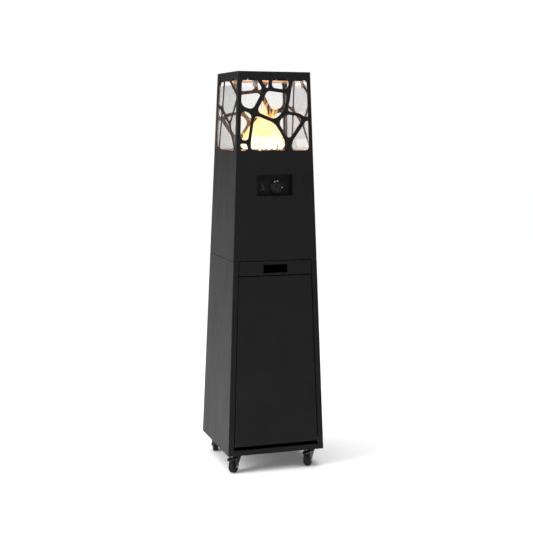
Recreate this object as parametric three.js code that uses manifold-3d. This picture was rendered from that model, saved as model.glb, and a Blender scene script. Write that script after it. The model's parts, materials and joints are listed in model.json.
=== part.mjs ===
// Gas patio heater: a tapered tower of folded sheet steel with a glazed flame chamber, on four castors.
// Millimetres, +Z up. The origin is on the floor under the centre of the tower, and the front faces -Y.
import * as THREE from 'three';
import { mergeVertices } from 'three/addons/utils/BufferGeometryUtils.js';
import Module from 'manifold-3d';

const wasm = await Module();
wasm.setup();

// Driving dimensions.
const TOTAL_HEIGHT = 1442;
const BASE_WIDTH = 366;
const TOP_WIDTH = 269;
const SEAM_HEIGHT = 772;
const CASTOR_HEIGHT = 68;
const SHEET = 1.5;
const GAP = 0.3;
const SEAM_GAP = 1.6;
const BEHIND = SHEET + GAP;

// Lower cabinet.
const POST_WIDTH = 20;
const DOOR_SLIT = 3;
const RAIL_TOP = 87;
const DOOR_BOTTOM = 100;
const DOOR_TOP = 716;
const HEADER_BOTTOM = 720;
const HEADER_TOP = 770;
const FOLD = 14;
const HAND_SLOT = { halfWidth: 46, bottom: 727, top: 758 };
const HINGE = { height: 107, depth: 8, pinRadius: 2.5 };

// Upper unit.
const FLANGE_WIDTH = 12.5;
const WINDOW = { bottom: 1164, top: 1416, margin: 15 };
const WEB = 13;
const CELL_CORNER = 17;
const DECK_HEIGHT = 1150;
const PANE = { depth: 6, thickness: 3, top: 1396, edge: 12 };
const RECESS = { halfWidth: 68, bottom: 1003, top: 1080, depth: 28.5 };
const KNOB = { x: 12, height: 1036, radius: 23, travel: 4 };
const IGNITER = { x: -41, height: 1034, radius: 13, buttonRadius: 7.5, travel: 5 };

// Gas train. The hose fitting passes through both plates; the electrode and the thermocouple
// stand on either side of the middle, in front of the burner.
const HOSE = { y: 40, hole: 9, foot: 735 };
const SENSOR = { x: 34, y: -70, hole: 4.5, collar: 6.5 };
const BURNER = { radius: 66, height: 24, neck: 16, sheet: 2 };
const VALVE_DEPTH = 62;

// Castors.
const WHEEL_RADIUS = 25;
const TYRE_WIDTH = 20;
const CASTOR_INSET = 40;
const TRAIL = 18;
const AXLE_RADIUS = 3;
const HUB_RADIUS = 16.5;

// The four faces lean inwards by this much for each millimetre of height.
const SLOPE = (BASE_WIDTH - TOP_WIDTH) / 2 / (TOTAL_HEIGHT - CASTOR_HEIGHT);
const halfWidth = (height) => BASE_WIDTH / 2 - SLOPE * (height - CASTOR_HEIGHT);
const LEAN = Math.atan(SLOPE);
const FRONT = 0;
const RIGHT = Math.PI / 2;
const BACK = Math.PI;
const LEFT = -Math.PI / 2;

// Finishes: colour, roughness, metalness.
const BLACK_COAT = { color: 0x1d1d1e, roughness: 0.55, metalness: 0.3 };
const BARE_STEEL = { color: 0x9a9da0, roughness: 0.4, metalness: 0.9 };
const ZINC = { color: 0xb9bcc0, roughness: 0.3, metalness: 1 };
const BRASS = { color: 0xb08d4a, roughness: 0.35, metalness: 1 };
const BLACK_PLASTIC = { color: 0x151516, roughness: 0.4, metalness: 0 };
const RUBBER = { color: 0x1a1a1b, roughness: 0.85, metalness: 0 };
const CERAMIC = { color: 0xe8e4da, roughness: 0.5, metalness: 0 };
const GLASS = { color: 0xdfe8e8, roughness: 0.05, metalness: 0, transparent: true, opacity: 0.3 };

const heater = new THREE.Group();

// --- Solids -----------------------------------------------------------------------------------

// Six times the signed volume of an indexed triangle mesh.
function signedVolume(points, triangles) {
  const corner = [new THREE.Vector3(), new THREE.Vector3(), new THREE.Vector3()];
  let sum = 0;
  for (let i = 0; i < triangles.length; i += 3) {
    corner.forEach((vertex, k) => vertex.fromArray(points, 3 * triangles[i + k]));
    sum += corner[0].dot(corner[1].cross(corner[2]));
  }
  return sum;
}

// A closed geometry as a solid with its faces pointing out.
function solid(geometry) {
  const bare = geometry.clone();
  bare.deleteAttribute('normal');
  bare.deleteAttribute('uv');
  const merged = mergeVertices(bare, 1e-4);
  const points = new Float32Array(merged.attributes.position.array);
  const index = merged.index.array;
  const kept = [];
  for (let i = 0; i < index.length; i += 3) {
    const [a, b, c] = [index[i], index[i + 1], index[i + 2]];
    if (a !== b && b !== c && c !== a) kept.push(a, b, c);
  }
  if (signedVolume(points, kept) < 0) kept.reverse();
  const mesh = new wasm.Mesh({ numProp: 3, vertProperties: points, triVerts: new Uint32Array(kept) });
  return new wasm.Manifold(mesh);
}

const join = (...solids) => solids.reduce((whole, next) => whole.add(next));
const cut = (whole, ...tools) => tools.reduce((left, tool) => left.subtract(tool), whole);

// Adds a solid to the heater as one named piece.
function piece(name, body, finish, parent = heater) {
  const { vertProperties, triVerts } = body.getMesh();
  const geometry = new THREE.BufferGeometry();
  geometry.setAttribute('position', new THREE.BufferAttribute(vertProperties, 3));
  geometry.setIndex(new THREE.BufferAttribute(triVerts, 1));
  geometry.computeVertexNormals();
  const mesh = new THREE.Mesh(geometry, new THREE.MeshStandardMaterial(finish));
  mesh.name = name;
  parent.add(mesh);
  return mesh;
}

function box([x0, x1], [y0, y1], [z0, z1]) {
  const geometry = new THREE.BoxGeometry(x1 - x0, y1 - y0, z1 - z0);
  geometry.translate((x0 + x1) / 2, (y0 + y1) / 2, (z0 + z1) / 2);
  return solid(geometry);
}

// A round bar between two points.
function rod(radius, from, to, sides = 16) {
  const start = new THREE.Vector3(...from);
  const way = new THREE.Vector3(...to).sub(start);
  const geometry = new THREE.CylinderGeometry(radius, radius, way.length(), sides);
  const turn = new THREE.Quaternion().setFromUnitVectors(new THREE.Vector3(0, 1, 0), way.clone().normalize());
  geometry.applyQuaternion(turn);
  const middle = start.addScaledVector(way, 0.5);
  geometry.translate(middle.x, middle.y, middle.z);
  return solid(geometry);
}

// A turned piece: its profile holds (radius, position along the axis), and the axis runs along +Y.
function turned(profile, sides = 24) {
  return new THREE.LatheGeometry(profile.map(([radius, along]) => new THREE.Vector2(radius, along)), sides);
}

// A pipe of round section through a list of points.
function pipe(radius, route, steps) {
  const section = new THREE.Shape().absarc(0, 0, radius, 0, 2 * Math.PI);
  const extrudePath = new THREE.CatmullRomCurve3(route.map((point) => new THREE.Vector3(...point)));
  return solid(new THREE.ExtrudeGeometry(section, { steps, extrudePath, curveSegments: 3 }));
}

// A block with sides that lean like the tower's, each set in from the tower's face by its own inset.
function taper(z0, z1, { front, back = front, left = front, right = left }) {
  const geometry = new THREE.BoxGeometry(2, 2, 2);
  const position = geometry.attributes.position;
  for (let i = 0; i < position.count; i += 1) {
    const height = position.getZ(i) < 0 ? z0 : z1;
    const x = position.getX(i) < 0 ? left - halfWidth(height) : halfWidth(height) - right;
    const y = position.getY(i) < 0 ? front - halfWidth(height) : halfWidth(height) - back;
    position.setXYZ(i, x, y, height);
  }
  return solid(geometry);
}

// --- Sheets on the leaning faces ---------------------------------------------------------------

// An outline in (sideways, height), seen from outside, becomes a sheet on one of the four faces.
// It starts at the given depth behind the face and is as thick as given.
function onFace(face, shape, depth = 0, thickness = SHEET) {
  const settings = { depth: thickness, bevelEnabled: false, curveSegments: 3 };
  const geometry = new THREE.ExtrudeGeometry(shape, settings);
  const lean = new THREE.Matrix4().set(
    1, 0, 0, 0,
    0, SLOPE, -1, depth + thickness - halfWidth(0),
    0, 1, 0, 0,
    0, 0, 0, 1,
  );
  geometry.applyMatrix4(lean);
  geometry.rotateZ(face);
  return solid(geometry);
}

const outline = (points) => new THREE.Shape(points.map(([u, z]) => new THREE.Vector2(u, z)));

// A panel between two heights whose sides follow the tower's corners at a constant inset.
function band(z0, z1, inset) {
  const [low, high] = [halfWidth(z0) - inset, halfWidth(z1) - inset];
  return outline([[-low, z0], [low, z0], [high, z1], [-high, z1]]);
}

// A strip along one corner of a face: side is -1 or 1, and it runs from one inset to another.
function edgeStrip(z0, z1, side, outer, inner) {
  const at = (z, inset) => [side * (halfWidth(z) - inset), z];
  return outline([at(z0, outer), at(z0, inner), at(z1, inner), at(z1, outer)]);
}

const rectangle = (u0, u1, z0, z1) => outline([[u0, z0], [u1, z0], [u1, z1], [u0, z1]]);

// A closed outline through the corners, each of them rounded.
function rounded(corners, radius) {
  const path = new THREE.Shape();
  const towards = (from, to) => from.clone().lerp(to, Math.min(radius / from.distanceTo(to), 0.45));
  corners.forEach((corner, i) => {
    const before = corners.at(i - 1);
    const after = corners[(i + 1) % corners.length];
    const start = towards(corner, before);
    const end = towards(corner, after);
    if (i === 0) path.moveTo(start.x, start.y);
    else path.lineTo(start.x, start.y);
    path.quadraticCurveTo(corner.x, corner.y, end.x, end.y);
  });
  path.closePath();
  return path;
}

function roundedRectangle(u0, u1, z0, z1, radius) {
  return rounded([[u0, z0], [u1, z0], [u1, z1], [u0, z1]].map(([u, z]) => new THREE.Vector2(u, z)), radius);
}

// Cuts outlines through whatever lies just behind a face.
function pierce(face, body, holes, through = SHEET) {
  return cut(body, ...holes.map((hole) => onFace(face, hole, -1, through + 2)));
}

// --- The cut screens ---------------------------------------------------------------------------

// A screen is a set of cells. Each cell is a ring of named points: either joints where webs meet,
// or ends where a web runs into the frame. Its hole is the ring moved in by half of each web.
const frameSide = (z) => halfWidth(z) - WINDOW.margin;
const top = (u) => new THREE.Vector2(u, WINDOW.top);
const bottom = (u) => new THREE.Vector2(u, WINDOW.bottom);
const leftSide = (z) => new THREE.Vector2(-frameSide(z), z);
const rightSide = (z) => new THREE.Vector2(frameSide(z), z);
const joint = (u, z) => new THREE.Vector2(u, z);
const FRAME_CORNERS = {
  topLeft: leftSide(WINDOW.top),
  topRight: rightSide(WINDOW.top),
  bottomLeft: leftSide(WINDOW.bottom),
  bottomRight: rightSide(WINDOW.bottom),
};

const FRONT_SCREEN = {
  points: {
    ...FRAME_CORNERS,
    topA: top(-60), topB: top(-15), topC: top(62),
    leftA: leftSide(1314), leftB: leftSide(1197),
    rightA: rightSide(1277),
    bottomA: bottom(-95), bottomB: bottom(51),
    crown: joint(-34, 1377), crownEast: joint(-18, 1380), shoulder: joint(54, 1371),
    bend: joint(50, 1340), heart: joint(37, 1298), ridge: joint(85, 1293),
    branch: joint(-78, 1298), fork: joint(4, 1266), stump: joint(53, 1190),
    knot: joint(-96, 1191), elbow: joint(114, 1277),
  },
  cells: [
    'topLeft leftA branch crown topA',
    'topA crown crownEast topB',
    'topB crownEast shoulder topC',
    'crown branch fork heart bend shoulder crownEast',
    'topC shoulder bend heart ridge elbow rightA topRight',
    'fork stump elbow ridge heart',
    'leftA leftB knot branch',
    'branch knot bottomA bottomB stump fork',
    'leftB bottomLeft bottomA knot',
    'stump bottomB bottomRight rightA elbow',
  ],
  widths: {
    'bottomB stump': 22, 'elbow stump': 14, 'shoulder topC': 14, 'elbow rightA': 15, 'branch crown': 16,
    'branch leftA': 15, 'fork heart': 15, 'heart ridge': 11, 'branch knot': 11,
  },
};

const SIDE_SCREEN = {
  points: {
    ...FRAME_CORNERS,
    topA: top(-30), topB: top(37),
    leftA: leftSide(1364), leftB: leftSide(1337),
    rightA: rightSide(1327), bottomA: bottom(82),
    fork: joint(-50, 1256), hub: joint(52, 1310),
    shoulder: joint(-100, 1308), elbow: joint(-87, 1212),
  },
  cells: [
    'topLeft leftA topA',
    'topA leftA leftB shoulder fork hub topB',
    'topB hub rightA topRight',
    'hub bottomA bottomRight rightA',
    'fork elbow bottomLeft bottomA hub',
    'leftB bottomLeft elbow fork shoulder',
  ],
  widths: {},
};

// Half the width of the web between two points, or nothing where the edge lies on the frame.
function edgeInset(screen, nameA, nameB) {
  const a = screen.points[nameA];
  const b = screen.points[nameB];
  const both = (test) => test(a) && test(b);
  const near = (value) => Math.abs(value) < 1e-6;
  const onFrame = both((p) => near(p.y - WINDOW.top)) || both((p) => near(p.y - WINDOW.bottom))
    || both((p) => near(p.x + frameSide(p.y))) || both((p) => near(p.x - frameSide(p.y)));
  return onFrame ? 0 : (screen.widths[[nameA, nameB].sort().join(' ')] ?? WEB) / 2;
}

// Moves every edge of an anticlockwise ring inwards by its own distance.
function shrink(ring, distances) {
  const lines = ring.map((point, i) => {
    const along = ring[(i + 1) % ring.length].clone().sub(point).normalize();
    const inward = new THREE.Vector2(-along.y, along.x);
    return { along, start: point.clone().addScaledVector(inward, distances[i]) };
  });
  return lines.map((line, i) => {
    const before = lines.at(i - 1);
    const offset = line.start.clone().sub(before.start);
    const along = offset.cross(line.along) / before.along.cross(line.along);
    return before.start.clone().addScaledVector(before.along, along);
  });
}

// The holes of a screen; mirrored turns it over, for the opposite side of the tower.
function screenHoles(screen, mirrored = false) {
  return screen.cells.map((cell) => {
    const names = cell.split(' ');
    const ring = names.map((name) => screen.points[name]);
    const distances = names.map((name, i) => edgeInset(screen, name, names[(i + 1) % names.length]));
    const hole = shrink(ring, distances).map(({ x, y }) => new THREE.Vector2(mirrored ? -x : x, y));
    return rounded(hole, CELL_CORNER);
  });
}

// --- Lower cabinet -----------------------------------------------------------------------------

// A side panel is a shallow channel: the side sheet with a flange folded in at the front and back.
// It is cut from a square tube. side is -1 for the left and 1 for the right.
function sidePanel(side, z0, z1, flange, holes = []) {
  const all = -1;
  const away = side < 0 ? { left: flange, right: all } : { left: all, right: flange };
  const channel = cut(
    taper(z0, z1, { front: 0 }),
    taper(z0 - 1, z1 + 1, { front: SHEET }),
    taper(z0 - 1, z1 + 1, { front: all, ...away }),
  );
  return pierce(side < 0 ? LEFT : RIGHT, channel, holes);
}

function lowerCabinet() {
  const top = SEAM_HEIGHT - SEAM_GAP / 2;
  for (const [name, side] of [['left', -1], ['right', 1]]) {
    piece(`lower_${name}_panel`, sidePanel(side, CASTOR_HEIGHT, top, POST_WIDTH), BLACK_COAT);
  }
  piece('lower_back_panel', onFace(BACK, band(CASTOR_HEIGHT, top, POST_WIDTH - 12), BEHIND), BLACK_COAT);

  // The tray has a floor, three upturned rims and a front rail that shows between the posts.
  const floor = CASTOR_HEIGHT + 2;
  const backInset = BEHIND + SHEET + GAP;
  const insets = { front: BEHIND, left: BEHIND, back: backInset };
  const rims = cut(
    taper(CASTOR_HEIGHT, RAIL_TOP, insets),
    taper(CASTOR_HEIGHT - 1, RAIL_TOP + 1, { front: -1, left: BEHIND + SHEET, back: backInset + SHEET }),
  );
  piece('base_tray', join(
    taper(CASTOR_HEIGHT, floor, insets),
    rims,
    onFace(FRONT, band(CASTOR_HEIGHT, RAIL_TOP, POST_WIDTH + GAP), 0, SHEET),
    onFace(FRONT, band(CASTOR_HEIGHT, floor, POST_WIDTH + GAP), SHEET / 2, SHEET),
  ), BLACK_COAT);

  // The top plate carries the upper unit; the gas hose passes through its hole.
  const plate = SEAM_HEIGHT - 4;
  piece('cabinet_top_plate', cut(
    taper(plate - 2, plate, { front: 30, left: BEHIND, back: backInset }),
    rod(HOSE.hole, [0, HOSE.y, plate - 5], [0, HOSE.y, plate + 5]),
  ), BLACK_COAT);
}

// The header is a fixed cross rail with folded edges and the hand slot.
function doorHeader() {
  const inset = POST_WIDTH + DOOR_SLIT;
  const { halfWidth: reach, bottom: low, top: high } = HAND_SLOT;
  const lipDepth = 9;
  const slot = roundedRectangle(-reach, reach, low, high, 3);
  const lip = roundedRectangle(-reach - SHEET, reach + SHEET, low - SHEET, high + SHEET, 3 + SHEET);
  const face = join(onFace(FRONT, band(HEADER_BOTTOM, HEADER_TOP, inset)), onFace(FRONT, lip, 0, lipDepth));
  const ends = [-1, 1].flatMap((side) => [
    onFace(FRONT, edgeStrip(HEADER_BOTTOM, HEADER_TOP, side, inset, inset + SHEET), 0, FOLD + SHEET),
    onFace(FRONT, edgeStrip(HEADER_BOTTOM, HEADER_TOP, side, BEHIND + 1, inset + SHEET), FOLD, SHEET),
  ]);
  piece('door_header', join(
    pierce(FRONT, face, [slot], lipDepth),
    onFace(FRONT, band(HEADER_TOP - SHEET, HEADER_TOP, inset), 0, FOLD + SHEET),
    onFace(FRONT, band(HEADER_BOTTOM, HEADER_BOTTOM + SHEET, inset), 0, 27),
    ...ends,
  ), BLACK_COAT);
}

// The door is a shallow tray; it tilts out about two pins near its bottom edge.
function door() {
  const inset = POST_WIDTH + DOOR_SLIT;
  const pan = cut(
    onFace(FRONT, band(DOOR_BOTTOM, DOOR_TOP, inset), 0, FOLD),
    onFace(FRONT, band(DOOR_BOTTOM + SHEET, DOOR_TOP - SHEET, inset + SHEET), SHEET, FOLD),
  );
  const lip = band(DOOR_TOP - 16, DOOR_TOP - SHEET / 2, inset + SHEET / 2);
  const strikeLip = onFace(FRONT, lip, FOLD - SHEET, SHEET);
  const y = HINGE.depth - halfWidth(HINGE.height);
  const edge = halfWidth(HINGE.height) - inset;
  const reach = edge + 40;
  piece('door', cut(
    join(pan, strikeLip),
    rod(HINGE.pinRadius + GAP, [-reach, y, HINGE.height], [reach, y, HINGE.height]),
  ), BLACK_COAT);

  for (const [name, side] of [['left', -1], ['right', 1]]) {
    const at = (x) => [side * x, y, HINGE.height];
    piece(`door_hinge_pin_${name}`, join(
      rod(HINGE.pinRadius, at(edge - 3), at(edge + 6.5)),
      rod(HINGE.pinRadius * 1.7, at(edge - 3.5), at(edge - SHEET - GAP)),
    ), ZINC);

    // The bracket is an angle: one leg against the back of the post, one beside the door.
    const postEdge = halfWidth(HINGE.height) - POST_WIDTH;
    const legs = [[postEdge + 0.5, postEdge + 2.5], [postEdge + 0.5, postEdge + 15]];
    const across = ([a, b]) => (side < 0 ? [-b, -a] : [a, b]);
    const front = BEHIND - halfWidth(HINGE.height + 14) + GAP;
    piece(`door_hinge_bracket_${name}`, cut(
      join(
        box(across(legs[0]), [front, front + 18], [HINGE.height - 12, HINGE.height + 12]),
        box(across(legs[1]), [front, front + 2], [HINGE.height - 12, HINGE.height + 12]),
      ),
      rod(HINGE.pinRadius + GAP, at(edge - 10), at(edge + 30)),
    ), ZINC);

    // Magnets under the header pull on the lip at the top of the door.
    const catchTop = HEADER_BOTTOM - GAP;
    const face = FOLD + 0.8 - halfWidth(DOOR_TOP - 14);
    const magnet = box(across([70, 104]), [face, face + 11], [catchTop - 18, catchTop]);
    piece(`door_magnet_${name}`, magnet, BLACK_PLASTIC);
  }
}

// --- Upper unit --------------------------------------------------------------------------------

function upperUnit() {
  const low = SEAM_HEIGHT + SEAM_GAP / 2;
  for (const [name, side] of [['left', -1], ['right', 1]]) {
    const holes = screenHoles(SIDE_SCREEN, side < 0);
    piece(`upper_${name}_panel`, sidePanel(side, low, TOTAL_HEIGHT, FLANGE_WIDTH, holes), BLACK_COAT);
  }

  // The front and back sheets stand between the side panels' flanges and fold inwards at their edges.
  const inset = FLANGE_WIDTH + GAP;
  const returns = [-1, 1].map((side) => edgeStrip(low, DECK_HEIGHT - 18, side, inset, inset + SHEET));
  for (const [name, face] of [['front', FRONT], ['back', BACK]]) {
    const holes = screenHoles(FRONT_SCREEN);
    if (face === FRONT) {
      holes.push(roundedRectangle(-RECESS.halfWidth, RECESS.halfWidth, RECESS.bottom, RECESS.top, 2));
    }
    const sheet = pierce(face, onFace(face, band(low, TOTAL_HEIGHT, inset)), holes);
    const folds = returns.map((strip) => onFace(face, strip, 0, 12));
    piece(`upper_${name}_panel`, join(sheet, ...folds), BLACK_COAT);
  }

  // The base plate stands on the cabinet's top plate.
  const floor = SEAM_HEIGHT + 1;
  piece('upper_base_plate', cut(
    taper(floor, floor + 2, { front: FOLD + GAP }),
    rod(HOSE.hole, [0, HOSE.y, floor - 5], [0, HOSE.y, floor + 5]),
  ), BLACK_COAT);

  // The deck closes the chamber below; the panes stand on it outside its upturned rim.
  const paneBack = PANE.depth + PANE.thickness + GAP;
  const deckTop = DECK_HEIGHT + 2;
  const rim = (z0, z1, outer) => cut(
    taper(z0, z1, { front: outer }),
    taper(z0 - 1, z1 + 1, { front: outer + SHEET }),
  );
  piece('burner_deck', cut(
    join(taper(DECK_HEIGHT, deckTop, { front: BEHIND }), rim(DECK_HEIGHT - 14, deckTop, BEHIND),
      rim(DECK_HEIGHT, deckTop + 10, paneBack)),
    rod(BURNER.neck + 4, [0, 0, DECK_HEIGHT - 5], [0, 0, deckTop + 5], 24),
    ...[-SENSOR.x, SENSOR.x].map((x) => (
      rod(SENSOR.hole, [x, SENSOR.y, DECK_HEIGHT - 5], [x, SENSOR.y, deckTop + 5]))),
  ), BARE_STEEL);

  for (const [name, face] of [['front', FRONT], ['right', RIGHT], ['back', BACK], ['left', LEFT]]) {
    const pane = band(deckTop + GAP, PANE.top, PANE.edge);
    piece(`pane_${name}`, onFace(face, pane, PANE.depth, PANE.thickness), GLASS);
  }

  // The lid lies just below the top edges. The deflector hangs under it on four spacers, and its
  // tabs hold the tops of the panes from the inside.
  const lid = TOTAL_HEIGHT - 3;
  piece('top_lid', join(
    taper(lid - SHEET, lid, { front: BEHIND }),
    rim(lid - 16, lid - SHEET / 2, BEHIND),
  ), BLACK_COAT);
  const shield = PANE.top + 14;
  const spacers = [[-80, -80], [80, -80], [80, 80], [-80, 80]].map(([x, y]) => (
    rod(5, [x, y, shield], [x, y, lid - SHEET - GAP], 10)
  ));
  const tabs = [FRONT, RIGHT, BACK, LEFT].flatMap((face) => [-70, 70].map((u) => (
    onFace(face, rectangle(u - 8, u + 8, PANE.top - 8, shield + SHEET / 2), paneBack, SHEET)
  )));
  piece('heat_deflector', join(
    taper(shield, shield + SHEET, { front: paneBack }),
    ...spacers,
    ...tabs,
  ), BARE_STEEL);
}

// --- Gas controls ------------------------------------------------------------------------------

// The controls are built square to the leaning front face: in this group +Y runs into the tower
// and the origin is on the face at the middle of the recess.
const recessHeight = (RECESS.bottom + RECESS.top) / 2;
const controls = new THREE.Group();
controls.position.set(0, -halfWidth(recessHeight), recessHeight);
controls.rotation.x = -LEAN;
heater.add(controls);

function controlBox() {
  const reach = RECESS.halfWidth;
  const rise = (RECESS.top - RECESS.bottom) / 2;
  const wall = [RECESS.depth, RECESS.depth + SHEET];
  const knobZ = KNOB.height - recessHeight;
  const buttonZ = IGNITER.height - recessHeight;
  piece('control_box', cut(
    join(
      box([-reach - SHEET, reach + SHEET], [BEHIND, wall[1]], [-rise - SHEET, rise + SHEET]),
      box([-reach - 12, reach + 12], [BEHIND, BEHIND + SHEET], [-rise - 12, rise + 12]),
    ),
    box([-reach, reach], [0, wall[0]], [-rise, rise]),
    rod(6, [KNOB.x, 20, knobZ], [KNOB.x, 40, knobZ]),
    rod(10, [IGNITER.x, 20, buttonZ], [IGNITER.x, 40, buttonZ], 20),
  ), BLACK_COAT, controls);

  // Knob: a skirt, a round boss and a grip bar, bored for the stem. It clears the wall by its travel.
  const back = wall[0] - KNOB.travel - 1;
  const bore = [[0, 12], [4 + GAP, 12], [4 + GAP, back + 1], [0, back + 1]];
  const knob = join(
    solid(turned([[0, 11], [15.5, 11], [17, 12.5], [17.5, back - 4], [KNOB.radius - 0.8, back - 4],
      [KNOB.radius, back - 3.2], [KNOB.radius, back], [0, back]], 24)),
    box([-4.5, 4.5], [2.5, 14], [-16.5, 16.5]),
  );
  const knobMesh = piece('control_knob', cut(knob, solid(turned(bore, 16))), BLACK_PLASTIC, controls);
  knobMesh.position.set(KNOB.x, 0, knobZ);
  knobMesh.rotation.y = THREE.MathUtils.degToRad(32);

  const stemEnd = 52;
  const stem = piece('valve_stem', rod(4, [0, 12 + GAP, 0], [0, stemEnd, 0]), ZINC, controls);
  stem.position.set(KNOB.x, 0, knobZ);

  const valve = cut(
    join(
      rod(11, [0, wall[1] + GAP, 0], [0, 46, 0], 16),
      box([-17, 17], [45, 82], [-20, 20]),
      rod(8, [0, VALVE_DEPTH, -34], [0, VALVE_DEPTH, -19], 6),
      rod(8, [0, VALVE_DEPTH, 19], [0, VALVE_DEPTH, 32], 6),
    ),
    rod(4 + GAP, [0, 20, 0], [0, stemEnd + KNOB.travel + 2, 0]),
  );
  piece('gas_valve', valve, BRASS, controls).position.set(KNOB.x, 0, knobZ);

  // Igniter: a bezel and barrel through the wall, with a sprung button inside.
  const barrelRadius = IGNITER.radius - 3.5;
  const barrel = solid(turned([[0, 62], [barrelRadius, 62], [barrelRadius, wall[0] - GAP],
    [IGNITER.radius, wall[0] - GAP], [IGNITER.radius, 26], [IGNITER.radius - 1, 25], [0, 25]], 24));
  const buttonEnd = 42;
  const wellEnd = buttonEnd + IGNITER.travel + 1;
  const wellRadius = IGNITER.buttonRadius + GAP;
  const well = solid(turned([[0, 24], [wellRadius, 24], [wellRadius, wellEnd], [0, wellEnd]], 20));
  const igniter = piece('igniter_body', cut(barrel, well), BLACK_PLASTIC, controls);
  igniter.position.set(IGNITER.x, 0, buttonZ);
  const cap = turned([[0, 17.5], [IGNITER.buttonRadius - 2, 17.8], [IGNITER.buttonRadius, 19],
    [IGNITER.buttonRadius, buttonEnd], [0, buttonEnd]], 20);
  piece('igniter_button', solid(cap), BLACK_PLASTIC, controls).position.set(IGNITER.x, 0, buttonZ);
}

function gasTrain() {
  const valveY = -halfWidth(recessHeight) + VALVE_DEPTH;
  const inletTop = KNOB.height - 38;
  const outlet = KNOB.height + 36;
  piece('gas_inlet_pipe', pipe(4, [
    [KNOB.x, valveY, inletTop], [KNOB.x, valveY, inletTop - 50], [KNOB.x - 3, valveY + 70, 900],
    [0, HOSE.y, 850], [0, HOSE.y, 800],
  ], 18), BRASS);

  // The fitting passes through both plates and ends in a ribbed tail for the bottle's hose.
  const tail = [[4, 0], [5.5, 3], [4.5, 12], [5.5, 13], [4.5, 22], [5, 23], [8, 30], [8, 48], [12, 48],
    [12, 56], [0, 56], [0, 0]];
  const fitting = turned([[0, 0], ...tail.slice(0, -1)], 12);
  fitting.rotateX(Math.PI / 2);
  fitting.translate(0, HOSE.y, HOSE.foot);
  piece('gas_inlet_fitting', solid(fitting), BRASS);

  piece('gas_pipe', join(
    pipe(3, [[KNOB.x, valveY, outlet], [KNOB.x, valveY, outlet + 8], [KNOB.x - 3, valveY + 40, outlet + 14],
      [0, -14, outlet + 6], [0, 0, outlet + 14], [0, 0, outlet + 24]], 20),
    rod(9, [0, 0, outlet + 20], [0, 0, outlet + 34], 6),
  ), BRASS);

  // Burner: a mixing tube under the deck that opens into a flat round head above it.
  const foot = DECK_HEIGHT - 36;
  const head = DECK_HEIGHT + 6;
  const crown = head + BURNER.height;
  const { radius, neck, sheet } = BURNER;
  const shell = turned([
    [neck - sheet, foot], [neck, foot], [neck, head], [radius - 8, head], [radius, head + 6],
    [radius, crown - 6], [radius - 6, crown], [0, crown], [0, crown - sheet], [radius - 8, crown - sheet],
    [radius - sheet, crown - 8], [radius - sheet, head + 8], [radius - 9, head + sheet],
    [neck - sheet, head + sheet], [neck - sheet, foot],
  ], 20);
  shell.rotateX(Math.PI / 2);
  piece('burner', solid(shell), BARE_STEEL);

  // Electrode and thermocouple stand in front of the burner head.
  const deckTop = DECK_HEIGHT + 2;
  const electrodeFoot = DECK_HEIGHT - 22;
  const onLeft = (z) => [-SENSOR.x, SENSOR.y, z];
  const onRight = (z) => [SENSOR.x, SENSOR.y, z];
  piece('ignition_electrode', join(
    rod(4, onLeft(electrodeFoot), onLeft(deckTop + 22), 10),
    rod(SENSOR.collar, onLeft(deckTop + GAP), onLeft(deckTop + 4), 10),
    pipe(1.2, [onLeft(deckTop + 20), onLeft(deckTop + 34), [-31, -62, deckTop + 39],
      [-28, -52, deckTop + 38]], 8),
  ), CERAMIC);
  const igniterEnd = [IGNITER.x, -halfWidth(recessHeight) + 64, IGNITER.height - 7];
  piece('ignition_lead', pipe(2, [
    igniterEnd, [IGNITER.x, igniterEnd[1] + 14, igniterEnd[2] + 2], [IGNITER.x + 4, SENSOR.y + 2, 1080],
    onLeft(1110), onLeft(electrodeFoot - GAP),
  ], 16), RUBBER);
  piece('thermocouple', join(
    rod(2.5, onRight(DECK_HEIGHT - 6), onRight(deckTop + 36), 10),
    rod(SENSOR.collar, onRight(deckTop + GAP), onRight(deckTop + 4), 10),
    pipe(1.5, [onRight(DECK_HEIGHT - 4), onRight(1120), [40, SENSOR.y - 4, 1080],
      [SENSOR.x + 2, valveY + 12, 1046], [KNOB.x + 19, valveY + 12, 1038]], 16),
  ), BRASS);
}

// --- Castors -----------------------------------------------------------------------------------

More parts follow.
